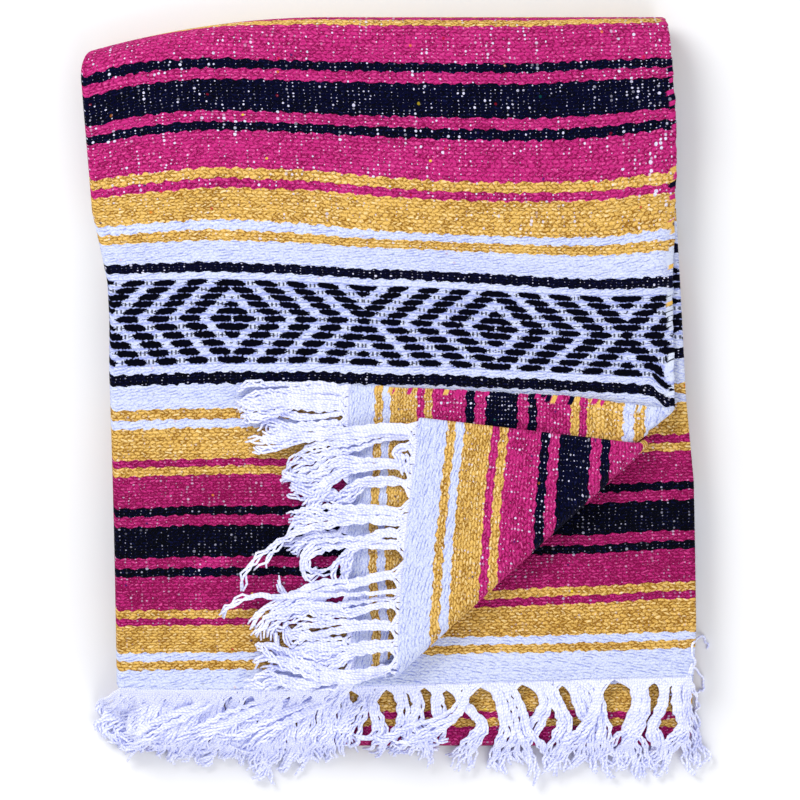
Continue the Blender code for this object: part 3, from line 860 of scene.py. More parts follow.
def cloth_material():
    """The woven cloth, drawn from its map: across the cloth, and along its stripes, both in millimetres."""
    material, shader, u, v = begin_material("woven_cloth")
    u, v = u * TO_MM, v * TO_MM
    v = v + (noise(u / 45, v / 60, 1, 7) - 0.5) * 2.4
    paleness = Field(new_node("ShaderNodeAttribute", attribute_name="paleness").outputs["Fac"])
    weave = weave_fields(u, v)
    stripes = stripe_fields(u, v)
    band = band_fields(u, v)
    streak = noise(u / 7, v / 1.1, 3, 11)
    patch = noise(u / 60, v / 22, 2, 13)
    fibre = noise(u / 1.1, v / 0.55, 2, 61)
    broken = noise(u / 11, v / 3, 1, 45)

    # Light and dark of the yarns: painted shade in the hollows between the grains, darker low in the pile and
    # towards the front, and painted shade in the white bands, in broken lines
    hollow_shade = ramp(1 - weave.grain, 0.3, 0.9)
    dark = hollow_shade * 0.7 + ramp(weave.tone, 0.35, 1) * 0.45 + (0.5 - streak) * 1.7 + (patch - 0.5) * 0.8
    dark = dark + (1 - paleness) * (0.5 - stripes.is_yellow * 0.36)
    # Painted shade in broken diagonal lines across the white bands
    line = ramp(absolute(fraction((v + u * 0.24) / PICK + broken * 1.6) - 0.5), 0.26, 0.5)
    line = line * ramp(broken, 0.4, 0.62)
    dark_white = line * 0.95 + hollow_shade * 0.4 + (0.55 - streak) * 1.2 + (patch - 0.5) * 0.5
    # Painted shade along the edges of the band's white floats
    dark_white = dark_white + band.inside * band.float_edge * 0.6
    white_share = most(stripes.is_white, band.inside)
    dark = clamp(blend_value(white_share, dark, dark_white) + (0.47 - fibre) * 2.2)
    # Painted highlights on the crowns of the grains, more on the yellow and where the cloth is painted
    # palest, with the fibres' paler fuzz
    bright = ramp(weave.grain, 0.45, 1) * weave.gleam * ramp(streak, 0.35, 0.65)
    bright = bright * (0.5 + stripes.is_yellow * 0.35 + paleness * 0.15) + (fibre - 0.53) * 1.5
    base, deep, light = stripes.shades
    colour = blend(clamp(bright), blend(dark, base, deep), light)
    black_yarn = blend(clamp(streak * 1.4 - 0.5), BLACK_DEEP, BLACK)
    colour = blend(band.inside, colour, blend(band.figure, blend(dark, WHITE, WHITE_DEEP), black_yarn))

    dot = warp_dots(u, v, weave, 1 - ramp(u, 3, 32)) * (0.45 + paleness * 0.55)
    dot = dot * (1 - stripes.is_white) * (1 - band.inside) * (1 - stripes.is_yellow * 0.25)
    colour = blend(dot * 0.95, colour, DOT)
    is_loop, carried = carried_loops(u, v, stripes, fibre)
    colour = blend(is_loop, colour, carried)
    fleck, hue = flecks(u, weave, fibre)
    fleck = fleck * (1 - stripes.is_white * 0.7) * (1 - band.inside) * (1 - stripes.is_black * 0.6)
    colour = blend(fleck * 0.8, colour, hue)

    fuzz = noise(u / 0.9, v / 0.5, 2, 17)
    swell_white = (1 - line * 0.6) * 0.5 + weave.grain * 0.35 - band.inside * band.float_edge * 0.3
    height = blend_value(white_share, weave.grain * 0.9, swell_white)
    height = height + fuzz * 0.45 + dot * 0.2 + band.figure * 0.4
    finish_material(shader, colour, height, 0.85, 0.9 * MM, CLOTH_GLOSS)
    return material


def yarn_material():
    """White cotton warp yarn, drawn from its map: round the thread, and along it."""
    material, shader, around, along = begin_material("white_yarn")
    along = along * TO_MM
    ply = absolute(sine((along / PLY_TURN + around) * math.pi))
    tone = noise(along / 14, around * 0.5, 2, 3)
    # Painted shade in the grooves between the plies, and random darker stretches
    dark = (1 - ply) * 0.4 + (tone - 0.42) * 1.5
    finish_material(shader, blend(clamp(dark), YARN, YARN_DEEP), ply, 0.45, 0.3 * MM, YARN_GLOSS_AND_PAINTED_GLOW)
    return material


# The sheets

LAYER_WIDTH = 400 * MM
LAYER_MARGIN = 18 * MM
FINE = 3 * MM
MEDIUM = 4 * MM
COARSE = 20 * MM
HIDDEN_STEP = 7 * MM
CREASE_STEP = 2 * MM
FOLD_STEP = 1 / 7
RIM_STATIONS = (0.4 * MM, 1.0 * MM, 1.8 * MM)
SPLIT_BEFORE_TURN = 8 * MM

# Where one sheet ends and the next goes on, across the folds and along the runs
TOP_TO = 2.004
INNER_FROM = 2.005
TOP_PAST_TURN = 6 * MM
HIDDEN_PAST_TURN = 6.4 * MM
MIDDLE_PAST_RUN = 0.3 * MM


def ply_stations(first, spacing):
    """Across stations over one layer, closer by its edges."""
    if spacing <= FINE:
        return np.array(steps(first, first + 1, spacing / LAYER_WIDTH))
    margin = LAYER_MARGIN / LAYER_WIDTH
    return joined(steps(first, first + margin, FINE / LAYER_WIDTH),
                  steps(first + margin, first + 1 - margin, spacing / LAYER_WIDTH),
                  steps(first + 1 - margin, first + 1, FINE / LAYER_WIDTH))


def all_stations(last_spacing):
    """Across stations over three folded layers, the last one at its own spacing."""
    return joined(ply_stations(0, COARSE), steps(1, 2, FOLD_STEP), ply_stations(2, COARSE),
                  steps(3, 4, FOLD_STEP), ply_stations(4, last_spacing))


def rim_stations(values, first_free, last_free, scale):
    """More stations close to a free edge, so that it is rounded."""
    extra = []
    for distance in RIM_STATIONS:
        if first_free:
            extra.append(values[0] + distance / scale)
        if last_free:
            extra.append(values[-1] - distance / scale)
    return np.unique(np.concatenate([values, extra]).round(7))


def photo_xy(px, py):
    """The frame's x and y under a pixel of the photograph."""
    return (px - PHOTO_MIDDLE) * PIXEL, (PHOTO_MIDDLE - py) * PIXEL


# How far below an even place the top layer's stripes lie, in pixels of the photograph: a row for each y
DROOPS_X = (130, 200, 280, 360, 440, 520, 600, 655)
DROOPS_Y = (66, 115, 171, 225, 276, 381, 430, 690)
DROOPS = np.array([
    (-17.5, -10.5, 0.0, 2.0, 2.7, 4.3, 0.0, -1.6),
    (-13.3, -8.0, 0.8, 6.5, 7.0, 8.4, 4.9, -2.0),
    (-5.6, -4.5, 0.5, 6.0, 11.3, 12.7, 11.0, 4.0),
    (4.1, 2.0, 7.2, 13.5, 18.7, 19.9, 20.1, 11.9),
    (7.8, 6.0, 8.5, 14.5, 17.5, 23.0, 28.0, 23.6),
    (13.7, 10.0, 9.0, 10.5, 13.0, 16.0, 20.0, 24.5),
    (11.0, 8.0, 8.0, 9.0, 10.0, 12.0, 14.0, 16.0),
    (10.5, 9.0, 9.0, 9.0, 9.0, 9.0, 9.0, 9.0),
])
DROOP_SOFTNESS_ACROSS = 16
DROOP_SOFTNESS_ALONG = 6
FLAP_AT = (0, 30, 60, 125, 180, 235, 275)
FLAP_BY = (0, 4, 7.5, 8.5, 8.5, 9, 0)
FLAP_STRETCH = 0.14
FLAP_LEAN = 9 / 260

# The black line by the roll's corner curls down, from a place on the photograph on and over some pixels
CURL = 13
CURL_FROM = (646, 352)
CURL_OVER = (22, 34)
MIDDLE_DROOPS_X = (400, 520, 600, 660)
MIDDLE_DROOPS = (1, 3, 4, 6.5)
MIDDLE_DROOP_TO = 634
MIDDLE_DROOP_OVER = 30


def photo_at(middle):
    return middle[..., 0] / PIXEL + PHOTO_MIDDLE, PHOTO_MIDDLE - middle[..., 1] / PIXEL


def droop_of_top(middle, length):
    """The pattern to add on the top layer, so that its stripes lie as they do in the photograph."""
    px, py = photo_at(middle)
    rows = np.stack([np.interp(px, DROOPS_X, row) for row in DROOPS])
    index = np.clip(np.searchsorted(DROOPS_Y, py) - 1, 0, len(DROOPS_Y) - 2)
    low, high = np.take(DROOPS_Y, index), np.take(DROOPS_Y, index + 1)
    share = np.clip((py - low) / (high - low), 0, 1)[None]
    before, after = (np.take_along_axis(rows, index[None] + more, 0) for more in (0, 1))
    value = mix(before, after, share)[0]
    value = smoothed(value * PIXEL, DROOP_SOFTNESS_ACROSS)
    value = smoothed(value.T.copy(), DROOP_SOFTNESS_ALONG).T
    curl = smooth((px - CURL_FROM[0]) / CURL_OVER[0]) * smooth((py - CURL_FROM[1]) / CURL_OVER[1])
    value = value + CURL * PIXEL * curl
    at = length / PIXEL * (1 + FLAP_STRETCH)
    flap = np.interp(at, FLAP_AT, FLAP_BY) + FLAP_LEAN * np.maximum(py - PHOTO_MIDDLE, 0)
    flap = FLAP_STRETCH * length + flap * PIXEL
    return np.where(middle[..., 2] > FOLD_Z, flap, value)


def droop_of_middle(middle, length):
    """The same on the middle layers, whose stripes run the other way."""
    px, py = photo_at(middle)
    fade = smooth((MIDDLE_DROOP_TO - py) / MIDDLE_DROOP_OVER)
    return np.interp(px, MIDDLE_DROOPS_X, MIDDLE_DROOPS) * fade * PIXEL


Free = namedtuple("Free", "right left start end")
Plan = namedtuple("Plan", "name node across lengths upper free droop")


def sheet_plans():
    """The stations and free edges of the four sheets. Each goes on from the last, out of sight."""
    top_across = joined(ply_stations(0, FINE), steps(1, 2, FOLD_STEP), [2, TOP_TO])
    top_lengths = joined(steps(0, RUN_A, FINE), steps(RUN_A, TURN_AB + TOP_PAST_TURN, FINE))
    inner_across = joined(ply_stations(2, MEDIUM), steps(3, 4, FOLD_STEP), ply_stations(4, FINE))
    inner_across = rim_stations(inner_across, False, True, LAYER_WIDTH)
    inner_lengths = joined(steps(0, RUN_A - SPLIT_BEFORE_TURN, FINE),
                           steps(RUN_A - SPLIT_BEFORE_TURN, TURN_AB, FINE))
    hidden_lengths = joined(steps(TURN_AB + HIDDEN_PAST_TURN, RUN_B, HIDDEN_STEP),
                            steps(RUN_B, TURN_BC, CREASE_STEP), steps(TURN_BC, RUN_C, HIDDEN_STEP))
    middle_lengths = joined(steps(RUN_C + MIDDLE_PAST_RUN, TURN_CD, CREASE_STEP),
                            steps(TURN_CD, RUN_D, MEDIUM))
    return [
        Plan("top_layer", "top_ply", rim_stations(top_across, True, False, LAYER_WIDTH),
             rim_stations(top_lengths, True, False, 1), True, Free(True, False, True, False), droop_of_top),
        Plan("inner_layers", "inner_plies", inner_across[inner_across > INNER_FROM],
             rim_stations(inner_lengths, True, False, 1), True, Free(False, True, True, False), None),
        Plan("hidden_layers", "hidden_plies", rim_stations(all_stations(COARSE), True, True, LAYER_WIDTH),
             hidden_lengths, False, Free(True, True, False, False), None),
        Plan("middle_layers", "middle_plies", rim_stations(all_stations(MEDIUM), True, True, LAYER_WIDTH),
             rim_stations(middle_lengths, False, True, 1), False, Free(True, True, False, True),
             droop_of_middle),
    ]


def hand_over(obj, material, node):
    """The piece with its material, on the blanket's body, in place of its solid."""
    obj.data.materials.append(material)
    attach(obj, "root")
    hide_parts(node)


def build_sheets():
    cloth = cloth_material()
    sheets = []
    for plan in sheet_plans():
        sheets.append(make_sheet(plan))
        hand_over(sheets[-1], cloth, plan.node)
    return sheets


TOP, INNER, HIDDEN, MIDDLE = build_sheets()


# The fringe

# Where a tassel leaves its edge and the points it runs through, all in pixels of the photograph. An edge
# along the near side is told by x, one up a turned-back flap by y. width is the bundle's half width at its
# root and opening what it gains by its tip, both in millimetres. level is how many tassels it lies on.
Tassel = namedtuple("Tassel", "root route threads width opening level")
TURNED_OVER = [
    Tassel(430, [(385, 428), (332, 434), (301, 440), (278, 446), (243, 443)], 16, 3.4, 5.5, 1),
    Tassel(438, [(392, 434), (345, 442), (312, 448), (284, 462)], 9, 2.4, 5, 0),
    Tassel(452, [(409, 446), (400, 451), (402, 461), (411, 463)], 10, 1.8, 1.5, 1),
    Tassel(470, [(393, 463), (347, 465), (328, 474), (309, 486), (284, 498)], 15, 3.2, 4.5, 1),
    Tassel(486, [(390, 480), (362, 484), (345, 498), (318, 506)], 11, 2.6, 4.5, 0),
    Tassel(517, [(385, 511), (340, 514), (306, 518), (282, 521)], 16, 3.4, 4.5, 1),
    Tassel(524, [(360, 520), (299, 529), (274, 547), (257, 562), (245, 577), (242, 593)], 5, 1.4, 1.2, 2),
    Tassel(536, [(385, 530), (356, 545), (344, 566), (334, 584)], 13, 3.0, 4.0, 1),
    Tassel(546, [(372, 543), (345, 541), (320, 543), (304, 558), (308, 574), (336, 582)], 10, 2.2, 3.0, 1),
    Tassel(578, [(390, 573), (360, 581), (316, 590), (286, 606), (265, 624), (245, 649)], 16, 3.2, 5.5, 1),
    Tassel(590, [(350, 594), (316, 598), (262, 597), (232, 601), (208, 617)], 4, 1.2, 1.6, 2),
    Tassel(604, [(380, 602), (345, 610), (318, 614), (292, 606)], 10, 2.4, 5, 0),
    Tassel(628, [(385, 624), (350, 626), (316, 633), (279, 632)], 15, 3.2, 4, 1),
    Tassel(650, [(390, 643), (360, 648), (326, 662), (290, 664)], 13, 3.0, 4.5, 1),
    Tassel(664, [(384, 668), (350, 676), (318, 674), (284, 662), (262, 640)], 12, 2.8, 4, 2),
]
TURNED_UNDER = [
    Tassel(392, [(318, 390), (290, 392), (262, 396), (230, 394)], 15, 4.0, 5, 0),
    Tassel(402, [(320, 401), (286, 404), (258, 411), (236, 408)], 15, 4.0, 5, 1),
    Tassel(410, [(322, 413), (296, 411), (270, 402), (246, 414)], 12, 3.6, 6, 0),
    Tassel(424, [(326, 424), (300, 430), (276, 426), (262, 438)], 11, 3.0, 6, 0),
    Tassel(450, [(330, 452), (312, 462), (296, 474), (288, 492)], 12, 3.4, 6, 0),
    Tassel(468, [(330, 480), (316, 494), (306, 512)], 12, 3.4, 6, 1),
    Tassel(498, [(328, 496), (308, 492), (292, 478)], 11, 3.0, 6, 0),
    Tassel(530, [(330, 536), (312, 534), (300, 544), (290, 556)], 11, 3.0, 4, 0),
    Tassel(580, [(332, 590), (312, 598), (290, 604), (270, 600)], 13, 3.6, 6, 0),
    Tassel(606, [(330, 606), (308, 604), (286, 614), (270, 622)], 12, 3.4, 6, 1),
    Tassel(640, [(330, 644), (310, 642), (290, 650), (268, 642)], 12, 3.4, 5, 0),
    Tassel(656, [(328, 658), (304, 654), (280, 662), (254, 668)], 13, 3.6, 6, 0),
    Tassel(672, [(330, 680), (300, 684), (274, 680), (244, 690)], 14, 3.8, 6, 1),
    Tassel(684, [(330, 694), (302, 700), (272, 706), (238, 722)], 14, 3.8, 6, 0),
]
TOP_LOOSE = [
    Tassel(122, [(112, 700), (104, 708), (97, 716)], 13, 3.4, 5, 0),
    Tassel(130, [(118, 706), (106, 724), (100, 740)], 15, 3.6, 6, 1),
    Tassel(142, [(134, 708), (124, 732), (114, 752)], 15, 3.6, 6, 0),
    Tassel(162, [(152, 712), (144, 734), (130, 754)], 15, 3.6, 6, 1),
    Tassel(182, [(176, 708), (168, 734), (156, 760)], 16, 3.8, 7, 0),
    Tassel(202, [(198, 706), (186, 734), (182, 766)], 16, 3.8, 7, 1),
    Tassel(222, [(214, 706), (210, 734), (196, 768)], 16, 3.8, 7, 0),
    Tassel(242, [(232, 712), (226, 738), (222, 766)], 16, 3.8, 7, 1),
    Tassel(262, [(258, 712), (254, 738), (244, 766)], 16, 3.8, 7, 0),
    Tassel(282, [(274, 716), (266, 750), (258, 786)], 17, 4.0, 7, 1),
    Tassel(302, [(290, 716), (284, 748), (274, 780)], 16, 3.8, 7, 0),
    Tassel(322, [(312, 712), (304, 742), (300, 770)], 16, 3.8, 6, 1),
    Tassel(342, [(332, 712), (324, 738), (314, 762)], 15, 3.6, 6, 0),
    Tassel(296, [(262, 706), (226, 722), (190, 744), (166, 760)], 12, 3.4, 6, 2),
    Tassel(346, [(312, 706), (276, 724), (246, 748), (226, 766)], 14, 3.6, 6, 2),
    Tassel(226, [(196, 708), (162, 722), (134, 742), (112, 744)], 11, 3.2, 6, 2),
    Tassel(152, [(148, 702), (136, 716), (122, 740)], 12, 4.2, 6, 0),
    Tassel(172, [(168, 702), (156, 720), (144, 750)], 12, 4.2, 6, 0),
    Tassel(192, [(188, 704), (182, 724), (168, 752)], 12, 4.2, 6, 0),
    Tassel(212, [(208, 704), (196, 726), (190, 752)], 12, 4.2, 6, 0),
]
INNER_LOOSE = [
    Tassel(136, [(138, 706), (130, 730), (138, 752)], 13, 4.0, 6, 0),
    Tassel(156, [(158, 708), (164, 732), (154, 756)], 14, 4.0, 7, 0),
    Tassel(178, [(182, 708), (178, 736), (188, 762)], 14, 4.0, 7, 0),
    Tassel(200, [(204, 710), (212, 738), (206, 766)], 14, 4.0, 7, 0),
    Tassel(224, [(230, 708), (236, 736), (232, 764)], 14, 4.0, 7, 0),
    Tassel(248, [(252, 708), (246, 738), (252, 770)], 14, 4.0, 7, 0),
    Tassel(270, [(276, 710), (286, 738), (282, 766)], 14, 4.0, 7, 0),
    Tassel(294, [(300, 708), (298, 738), (312, 772)], 14, 4.0, 7, 0),
    Tassel(318, [(324, 708), (332, 732), (326, 762)], 13, 4.0, 7, 0),
    Tassel(340, [(346, 708), (344, 730), (348, 752)], 12, 3.6, 6, 0),
]
MIDDLE_LOOSE = [
    Tassel(362, [(366, 700), (356, 722), (340, 744)], 13, 3.4, 5, 0),
    Tassel(378, [(372, 704), (384, 734), (368, 754)], 13, 3.2, 4, 1),
    Tassel(396, [(402, 704), (404, 730), (384, 752)], 12, 3.0, 5, 0),
    Tassel(410, [(420, 704), (412, 726), (428, 744), (442, 758)], 14, 3.2, 5, 1),
    Tassel(438, [(436, 706), (444, 724), (424, 744), (406, 760)], 14, 3.2, 5, 0),
    Tassel(452, [(462, 702), (484, 724), (466, 750), (456, 774)], 14, 3.4, 5, 1),
    Tassel(474, [(458, 712), (434, 728), (410, 742), (384, 758)], 13, 3.2, 6, 2),
    Tassel(490, [(502, 706), (508, 732), (498, 758), (500, 778)], 15, 3.6, 6, 0),
    Tassel(506, [(522, 714), (530, 740), (542, 762), (552, 776)], 15, 3.6, 7, 1),
    Tassel(534, [(546, 704), (532, 726), (520, 746), (512, 772)], 15, 3.6, 7, 0),
    Tassel(550, [(556, 700), (568, 722), (558, 750), (562, 774)], 14, 3.4, 6, 1),
    Tassel(572, [(580, 704), (592, 722), (584, 750), (588, 782)], 15, 3.6, 6, 0),
    Tassel(586, [(596, 700), (602, 724), (604, 752), (618, 784)], 14, 3.4, 7, 1),
    Tassel(600, [(594, 712), (580, 734), (560, 752), (540, 768)], 13, 3.2, 6, 2),
    Tassel(630, [(638, 704), (628, 728), (636, 756), (648, 786)], 15, 3.6, 6, 0),
    Tassel(644, [(646, 706), (636, 730), (622, 752), (610, 776)], 14, 3.4, 6, 1),
    Tassel(664, [(664, 704), (652, 728), (664, 752), (640, 772)], 14, 3.4, 7, 0),
    Tassel(676, [(678, 702), (684, 728), (672, 752), (656, 774)], 13, 3.2, 6, 1),
    Tassel(687, [(686, 704), (690, 730), (698, 756), (706, 778)], 12, 3.0, 5, 0),
]
STRAYS = [
    Tassel(690, [(694, 664), (692, 648), (698, 639), (706, 638), (713, 643), (716, 652)], 1, 0, 0, 0),
    Tassel(688, [(692, 658), (700, 674), (707, 686), (706, 695), (699, 698), (692, 692), (688, 684)],
           1, 0, 0, 0),
    Tassel(688, [(696, 690), (700, 712), (692, 728)], 2, 1.0, 2, 0),
]

# A thread is a tube, three threads twist round each other in a strand, and strands make a tassel
THREAD_RADIUS = 0.95 * MM
THREAD_STEPS = 26
THREAD_SIDES = 5
THREAD_PITCH = 1.7 * MM
TIP_FROM = 0.95
TIP_SHARE = 0.72
TINY = 1e-12
CLEARANCE = 0.25 * MM
STRAND = 3
STRAND_RADIUS = 1.2 * MM
STRAND_TURN = 25 * MM
STRAND_WAVE = 38 * MM
HEAP = 1.1 * MM
HEAP_WAVE = 30 * MM
LEVEL_LIFT = 1.9 * MM
CRIMP = 9 * MM
CRIMP_HEIGHT = 0.45
SWAY = 3.5 * MM
BEND = 3.2 * MM
LOOSE_END = 1.6 * MM
LOOSE_FROM = 0.55
GATHER = 10 * MM
FALL = 34 * MM
FALL_TO = -20 * MM
SHORTEST_STRAND = 0.86
SHORTEST_THREAD = 0.965
END_INSIDE = 1.2 * MM
END_STATIONS = 240
LEVEL_JITTER = 0.25
ROUTE_FINENESS = 4
ROUTE_SOFTNESS = 26
SWAY_SOFTNESS = 8
BEND_SOFTNESS = 5
LOOSE_SOFTNESS = 3
ABOVE_ALL = 0.2
SETTLE_PASSES = 6
SETTLE_SLACK = 0.3 * MM


class Ground:
    """The height of what lies below a point: the sheets, or the floor."""

    def __init__(self, objects):
        self.trees = []
        for obj in objects:
            points = [v.co for v in obj.data.vertices]
            self.trees.append(BVHTree.FromPolygons(points, [tuple(p.vertices) for p in obj.data.polygons]))

    def height(self, x, y, below):
        best = 0.0
        for tree in self.trees:
            hit = tree.ray_cast(Vector((x, y, below)), Vector((0, 0, -1)))
            if hit[0] is not None:
                best = max(best, hit[0].z)
        return best


def bend_through(points, count):
    """Even points on a soft curve through the given ones."""
    points = np.array(points)
    reach = reach_along(points)
    at = np.linspace(0, reach[-1], count * ROUTE_FINENESS)
    curve = np.stack([np.interp(at, reach, points[:, i]) for i in range(2)], axis=1)
    curve = smoothed(curve, ROUTE_SOFTNESS)
    reach = reach_along(curve)
    at = np.linspace(0, reach[-1], count)
    return np.stack([np.interp(at, reach, curve[:, i]) for i in range(2)], axis=1), reach[-1]


End = namedtuple("End", "upper low high length axis")
OVER_FLAP_END = End(True, 4.0, 4.56, END_INSIDE, 1)
UNDER_FLAP_END = End(True, 0.0, 0.56, END_INSIDE, 1)
TOP_NEAR_END = End(True, 0.5, 1.0, END_INSIDE, 0)
INNER_NEAR_END = End(True, 4.5, 5.0, END_INSIDE, 0)
MIDDLE_NEAR_END = End(False, 4.0, 5.0, RUN_D - END_INSIDE, 0)


def end_roots(end):
    """Places across the folds along a cloth's end, and where they lie along it."""
    across = np.linspace(end.low, end.high, END_STATIONS)
    along = place(across, end.length, end.upper)[:, end.axis]
    order = np.argsort(along)
    return across[order], along[order]


Strands = namedtuple("Strands", "levels phases bends reaches crimps")


def draw_strands(count, travel, rng):
    """Where the strands lie in their tassel, how they wave and bend, and how far they reach."""
    levels = np.zeros(1)
    if count > 1:
        levels = rng.uniform(-1, 1, count) * LEVEL_JITTER + np.linspace(-1, 1, count)
    phases = rng.uniform(0, 2 * math.pi, count)
    bends = [smoothed(rng.normal(0, 1, THREAD_STEPS), BEND_SOFTNESS) * BEND * travel**1.2
             for _ in range(count)]
    reaches = rng.uniform(SHORTEST_STRAND, 1.0, count)
    crimps = rng.uniform(0, 2 * math.pi, count)
    return Strands(levels, phases, bends, reaches, crimps)


def lay_thread(xy, heap, ground, root_z, reach):
    """Heights of a thread that leaves its root, falls on what lies below it and rests there on the others."""
    under = np.array([ground.height(x, y, ABOVE_ALL) for x, y in xy])
    falling = mix(root_z, FALL_TO, np.clip(reach / FALL, 0, 1) ** 1.4)
    z = np.maximum(under + THREAD_RADIUS + CLEARANCE + heap, falling)
    lowest = z.copy()
    for _ in range(SETTLE_PASSES):
        z = np.maximum(smoothed(z, 1), lowest - SETTLE_SLACK)
    z[0] = root_z
    return z


def thread_paths(tassel, end, ground, rng):
    """The threads of a tassel: from their places on the cloth's end, drawn together, and loose at the tip."""
    across, along_end = end_roots(end)
    at = (tassel.root - PHOTO_MIDDLE) * PIXEL if end.axis == 0 else (PHOTO_MIDDLE - tassel.root) * PIXEL
    first = place(np.interp(at, along_end, across), end.length, end.upper)
    centre, total = bend_through([first[:2]] + [photo_xy(*point) for point in tassel.route], THREAD_STEPS)
    way = unit(np.gradient(centre, axis=0))
    side = np.stack([-way[:, 1], way[:, 0]], axis=1)
    travel = np.linspace(0, 1, THREAD_STEPS)
    reach = travel * total
    gather = smooth(reach / GATHER)
    spread = (tassel.width + tassel.opening * travel**1.6) * MM
    loosen = STRAND_RADIUS * (0.75 + 0.9 * travel**2)
    crimp_height = CRIMP_HEIGHT * (1 + 0.7 * travel) * MM
    loose_share = np.maximum(travel - LOOSE_FROM, 0) / (1 - LOOSE_FROM)
    sway = smoothed(rng.normal(0, 1, THREAD_STEPS), SWAY_SOFTNESS) * SWAY * travel
    count = max(1, round(tassel.threads / STRAND))
    strands = draw_strands(count, travel, rng)
    stations = np.arange(THREAD_STEPS)
    paths = []
    for number in range(tassel.threads):
        strand, member = number % count, number // count
        share = (number - (tassel.threads - 1) / 2) / max(1, tassel.threads - 1) * 2
        root_at = at + share * tassel.threads / 2 * THREAD_PITCH
        start = place(np.interp(root_at, along_end, across), end.length, end.upper)
        phase = strands.phases[strand]
        wave = 0.75 + 0.25 * np.cos(phase + reach / STRAND_WAVE)
        crimp = crimp_height * np.sin(strands.crimps[strand] + reach / CRIMP * 2 * math.pi)
        own_turn = 2 * math.pi * (member / STRAND + reach / STRAND_TURN)
        loose_end = smoothed(rng.normal(0, 1, THREAD_STEPS), LOOSE_SOFTNESS) * LOOSE_END * loose_share
        aside = spread * strands.levels[strand] * wave + strands.bends[strand] + sway + crimp
        aside = aside + loosen * np.cos(own_turn) + loose_end
        keep = stations * strands.reaches[strand] * rng.uniform(SHORTEST_THREAD, 1.0)
        own = np.stack([np.interp(keep, stations, centre[:, i]) for i in range(2)], axis=1)
        xy = own + side * (aside * gather)[:, None] + (start[:2] - centre[0]) * (1 - gather)[:, None]
        heap = loosen * (1 + np.sin(own_turn)) + HEAP * (1 + np.sin(phase + reach / HEAP_WAVE))
        heap = heap + tassel.level * LEVEL_LIFT if tassel.threads > 1 else 0 * travel
        paths.append(np.column_stack([xy, lay_thread(xy, heap * gather, ground, start[2], reach)]))
    return paths


def tubes(name, paths):
    """One mesh of round threads along the paths, thinner at the tip, each with its own map."""
    ring = np.linspace(0, 2 * math.pi, THREAD_SIDES, endpoint=False)
    sides = range(THREAD_SIDES)
    points, faces, cloth = [], [], []
    for path in paths:
        way = unit(np.gradient(path, axis=0), TINY)
        side = unit(np.cross(way, (0, 0, 1.0)), TINY)
        up = np.cross(side, way)
        radius = THREAD_RADIUS * np.interp(np.linspace(0, 1, len(path)), [0, TIP_FROM, 1], [1, 1, TIP_SHARE])
        base, last = len(points), len(points) + (len(path) - 1) * THREAD_SIDES
        reach = reach_along(path)
        for i, centre in enumerate(path):
            for j in sides:
                points.append(centre + radius[i] * (side[i] * math.cos(ring[j]) + up[i] * math.sin(ring[j])))
                cloth.append((j / THREAD_SIDES, reach[i]))
        for a in range(base, last, THREAD_SIDES):
            for j in sides:
                k, b = (j + 1) % THREAD_SIDES, a + THREAD_SIDES
                faces.append((a + j, a + k, b + k, b + j))
        faces.append(tuple(base + j for j in sides)[::-1])
        faces.append(tuple(last + j for j in sides))
    mesh = bpy.data.meshes.new(name)
    mesh.from_pydata([tuple(p) for p in points], [], faces)
    add_map(mesh, "cloth", np.array(cloth))
    mesh.shade_smooth()
    return add_object(name, mesh)


def build_fringes(sheets):
    yarn = yarn_material()
    ground = Ground(sheets)
    below_middle = Ground((HIDDEN,))
    rng = np.random.default_rng(7)

    def grow(tassels, end, over):
        return [path for tassel in tassels for path in thread_paths(tassel, end, over, rng)]

    found = []
    for name, node, paths in (
        ("loose_fringe_over_flap", "fringe_over_flap", grow(TURNED_OVER, OVER_FLAP_END, ground)),
        ("loose_fringe_under_flap", "fringe_under_flap", grow(TURNED_UNDER, UNDER_FLAP_END, ground)),
        ("loose_fringe_top", "fringe_top_ply",
         grow(TOP_LOOSE, TOP_NEAR_END, ground) + grow(INNER_LOOSE, INNER_NEAR_END, below_middle)),
        ("loose_fringe_middle", "fringe_middle_plies",
         grow(MIDDLE_LOOSE, MIDDLE_NEAR_END, below_middle) + grow(STRAYS, MIDDLE_NEAR_END, ground)),
    ):
        found.append(tubes(name, paths))
        hand_over(found[-1], yarn, node)
    return found


OVER, UNDER, LOOSE_TOP, LOOSE_MIDDLE = build_fringes((TOP, INNER, HIDDEN, MIDDLE))


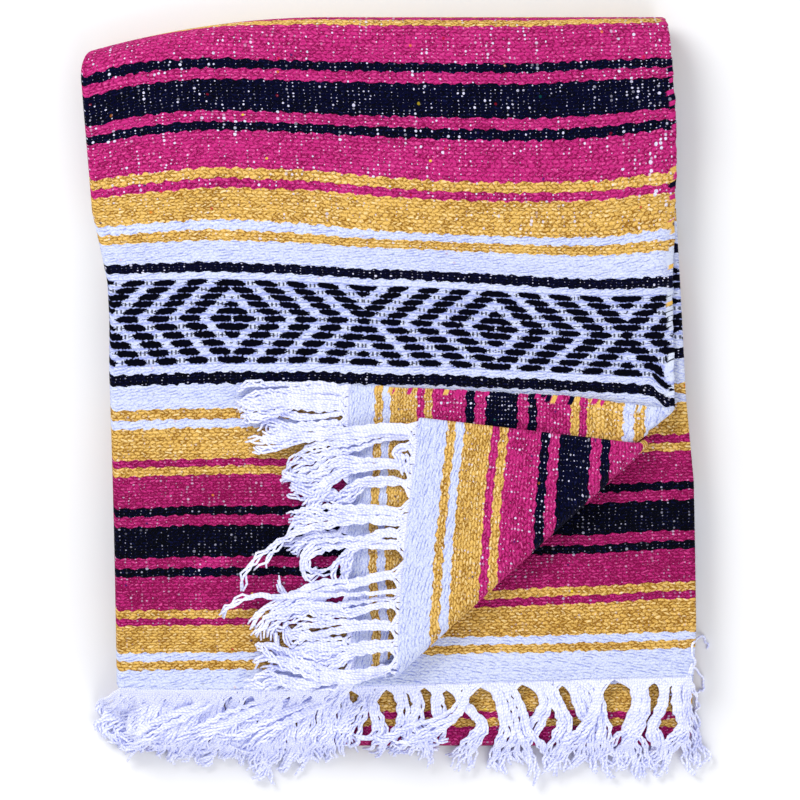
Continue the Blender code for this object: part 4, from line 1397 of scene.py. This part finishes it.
# The view, the floor and the light

LENS = 300
SENSOR = 36
PHOTO_WIDTH = 800 * PIXEL
FLOOR_REACH = 3.0
FLOOR_COLOUR = (0.86, 0.86, 0.87, 1)
ROOM_COLOUR = (0.97, 0.98, 1.0, 1)
ROOM_STRENGTH = 0.62
Lamp = namedtuple("Lamp", "name location size power colour")
LAMPS = [
    Lamp("key", (-1.0, 1.2, 1.5), 1.2, 30, (1, 1, 1)),
    Lamp("fill", (0.7, -1.5, 1.5), 2.0, 22, (0.96, 0.97, 1.0)),
]


def look_down():
    camera = add_object("camera", bpy.data.cameras.new("camera"))
    camera.data.lens = LENS
    camera.data.sensor_width = SENSOR
    camera.data.clip_end = 20
    camera.location = (0, 0, PHOTO_WIDTH * LENS / SENSOR + BACK_Z)
    bpy.context.scene.camera = camera


def lay_floor():
    mesh = bpy.data.meshes.new("floor")
    corners = [(x * FLOOR_REACH, y * FLOOR_REACH, 0) for x, y in ((-1, -1), (1, -1), (1, 1), (-1, 1))]
    mesh.from_pydata(corners, [], [(0, 1, 2, 3)])
    material = bpy.data.materials.new("floor_paint")
    material.use_nodes = True
    shader = material.node_tree.nodes["Principled BSDF"]
    shader.inputs["Base Color"].default_value = FLOOR_COLOUR
    shader.inputs["Roughness"].default_value = 0.95
    mesh.materials.append(material)
    add_object("floor", mesh)


def light_room():
    for lamp in LAMPS:
        light = bpy.data.lights.new(lamp.name, "AREA")
        light.shape = "DISK"
        light.size = lamp.size
        light.energy = lamp.power
        light.color = lamp.colour
        obj = add_object(lamp.name, light)
        obj.location = lamp.location
        obj.rotation_euler = (-Vector(lamp.location)).to_track_quat("-Z", "Y").to_euler()
    world = bpy.data.worlds.new("room")
    bpy.context.scene.world = world
    world.use_nodes = True
    world.node_tree.nodes["Background"].inputs["Color"].default_value = ROOM_COLOUR
    world.node_tree.nodes["Background"].inputs["Strength"].default_value = ROOM_STRENGTH
    bpy.context.scene.view_settings.view_transform = "Standard"


look_down()
lay_floor()
light_room()
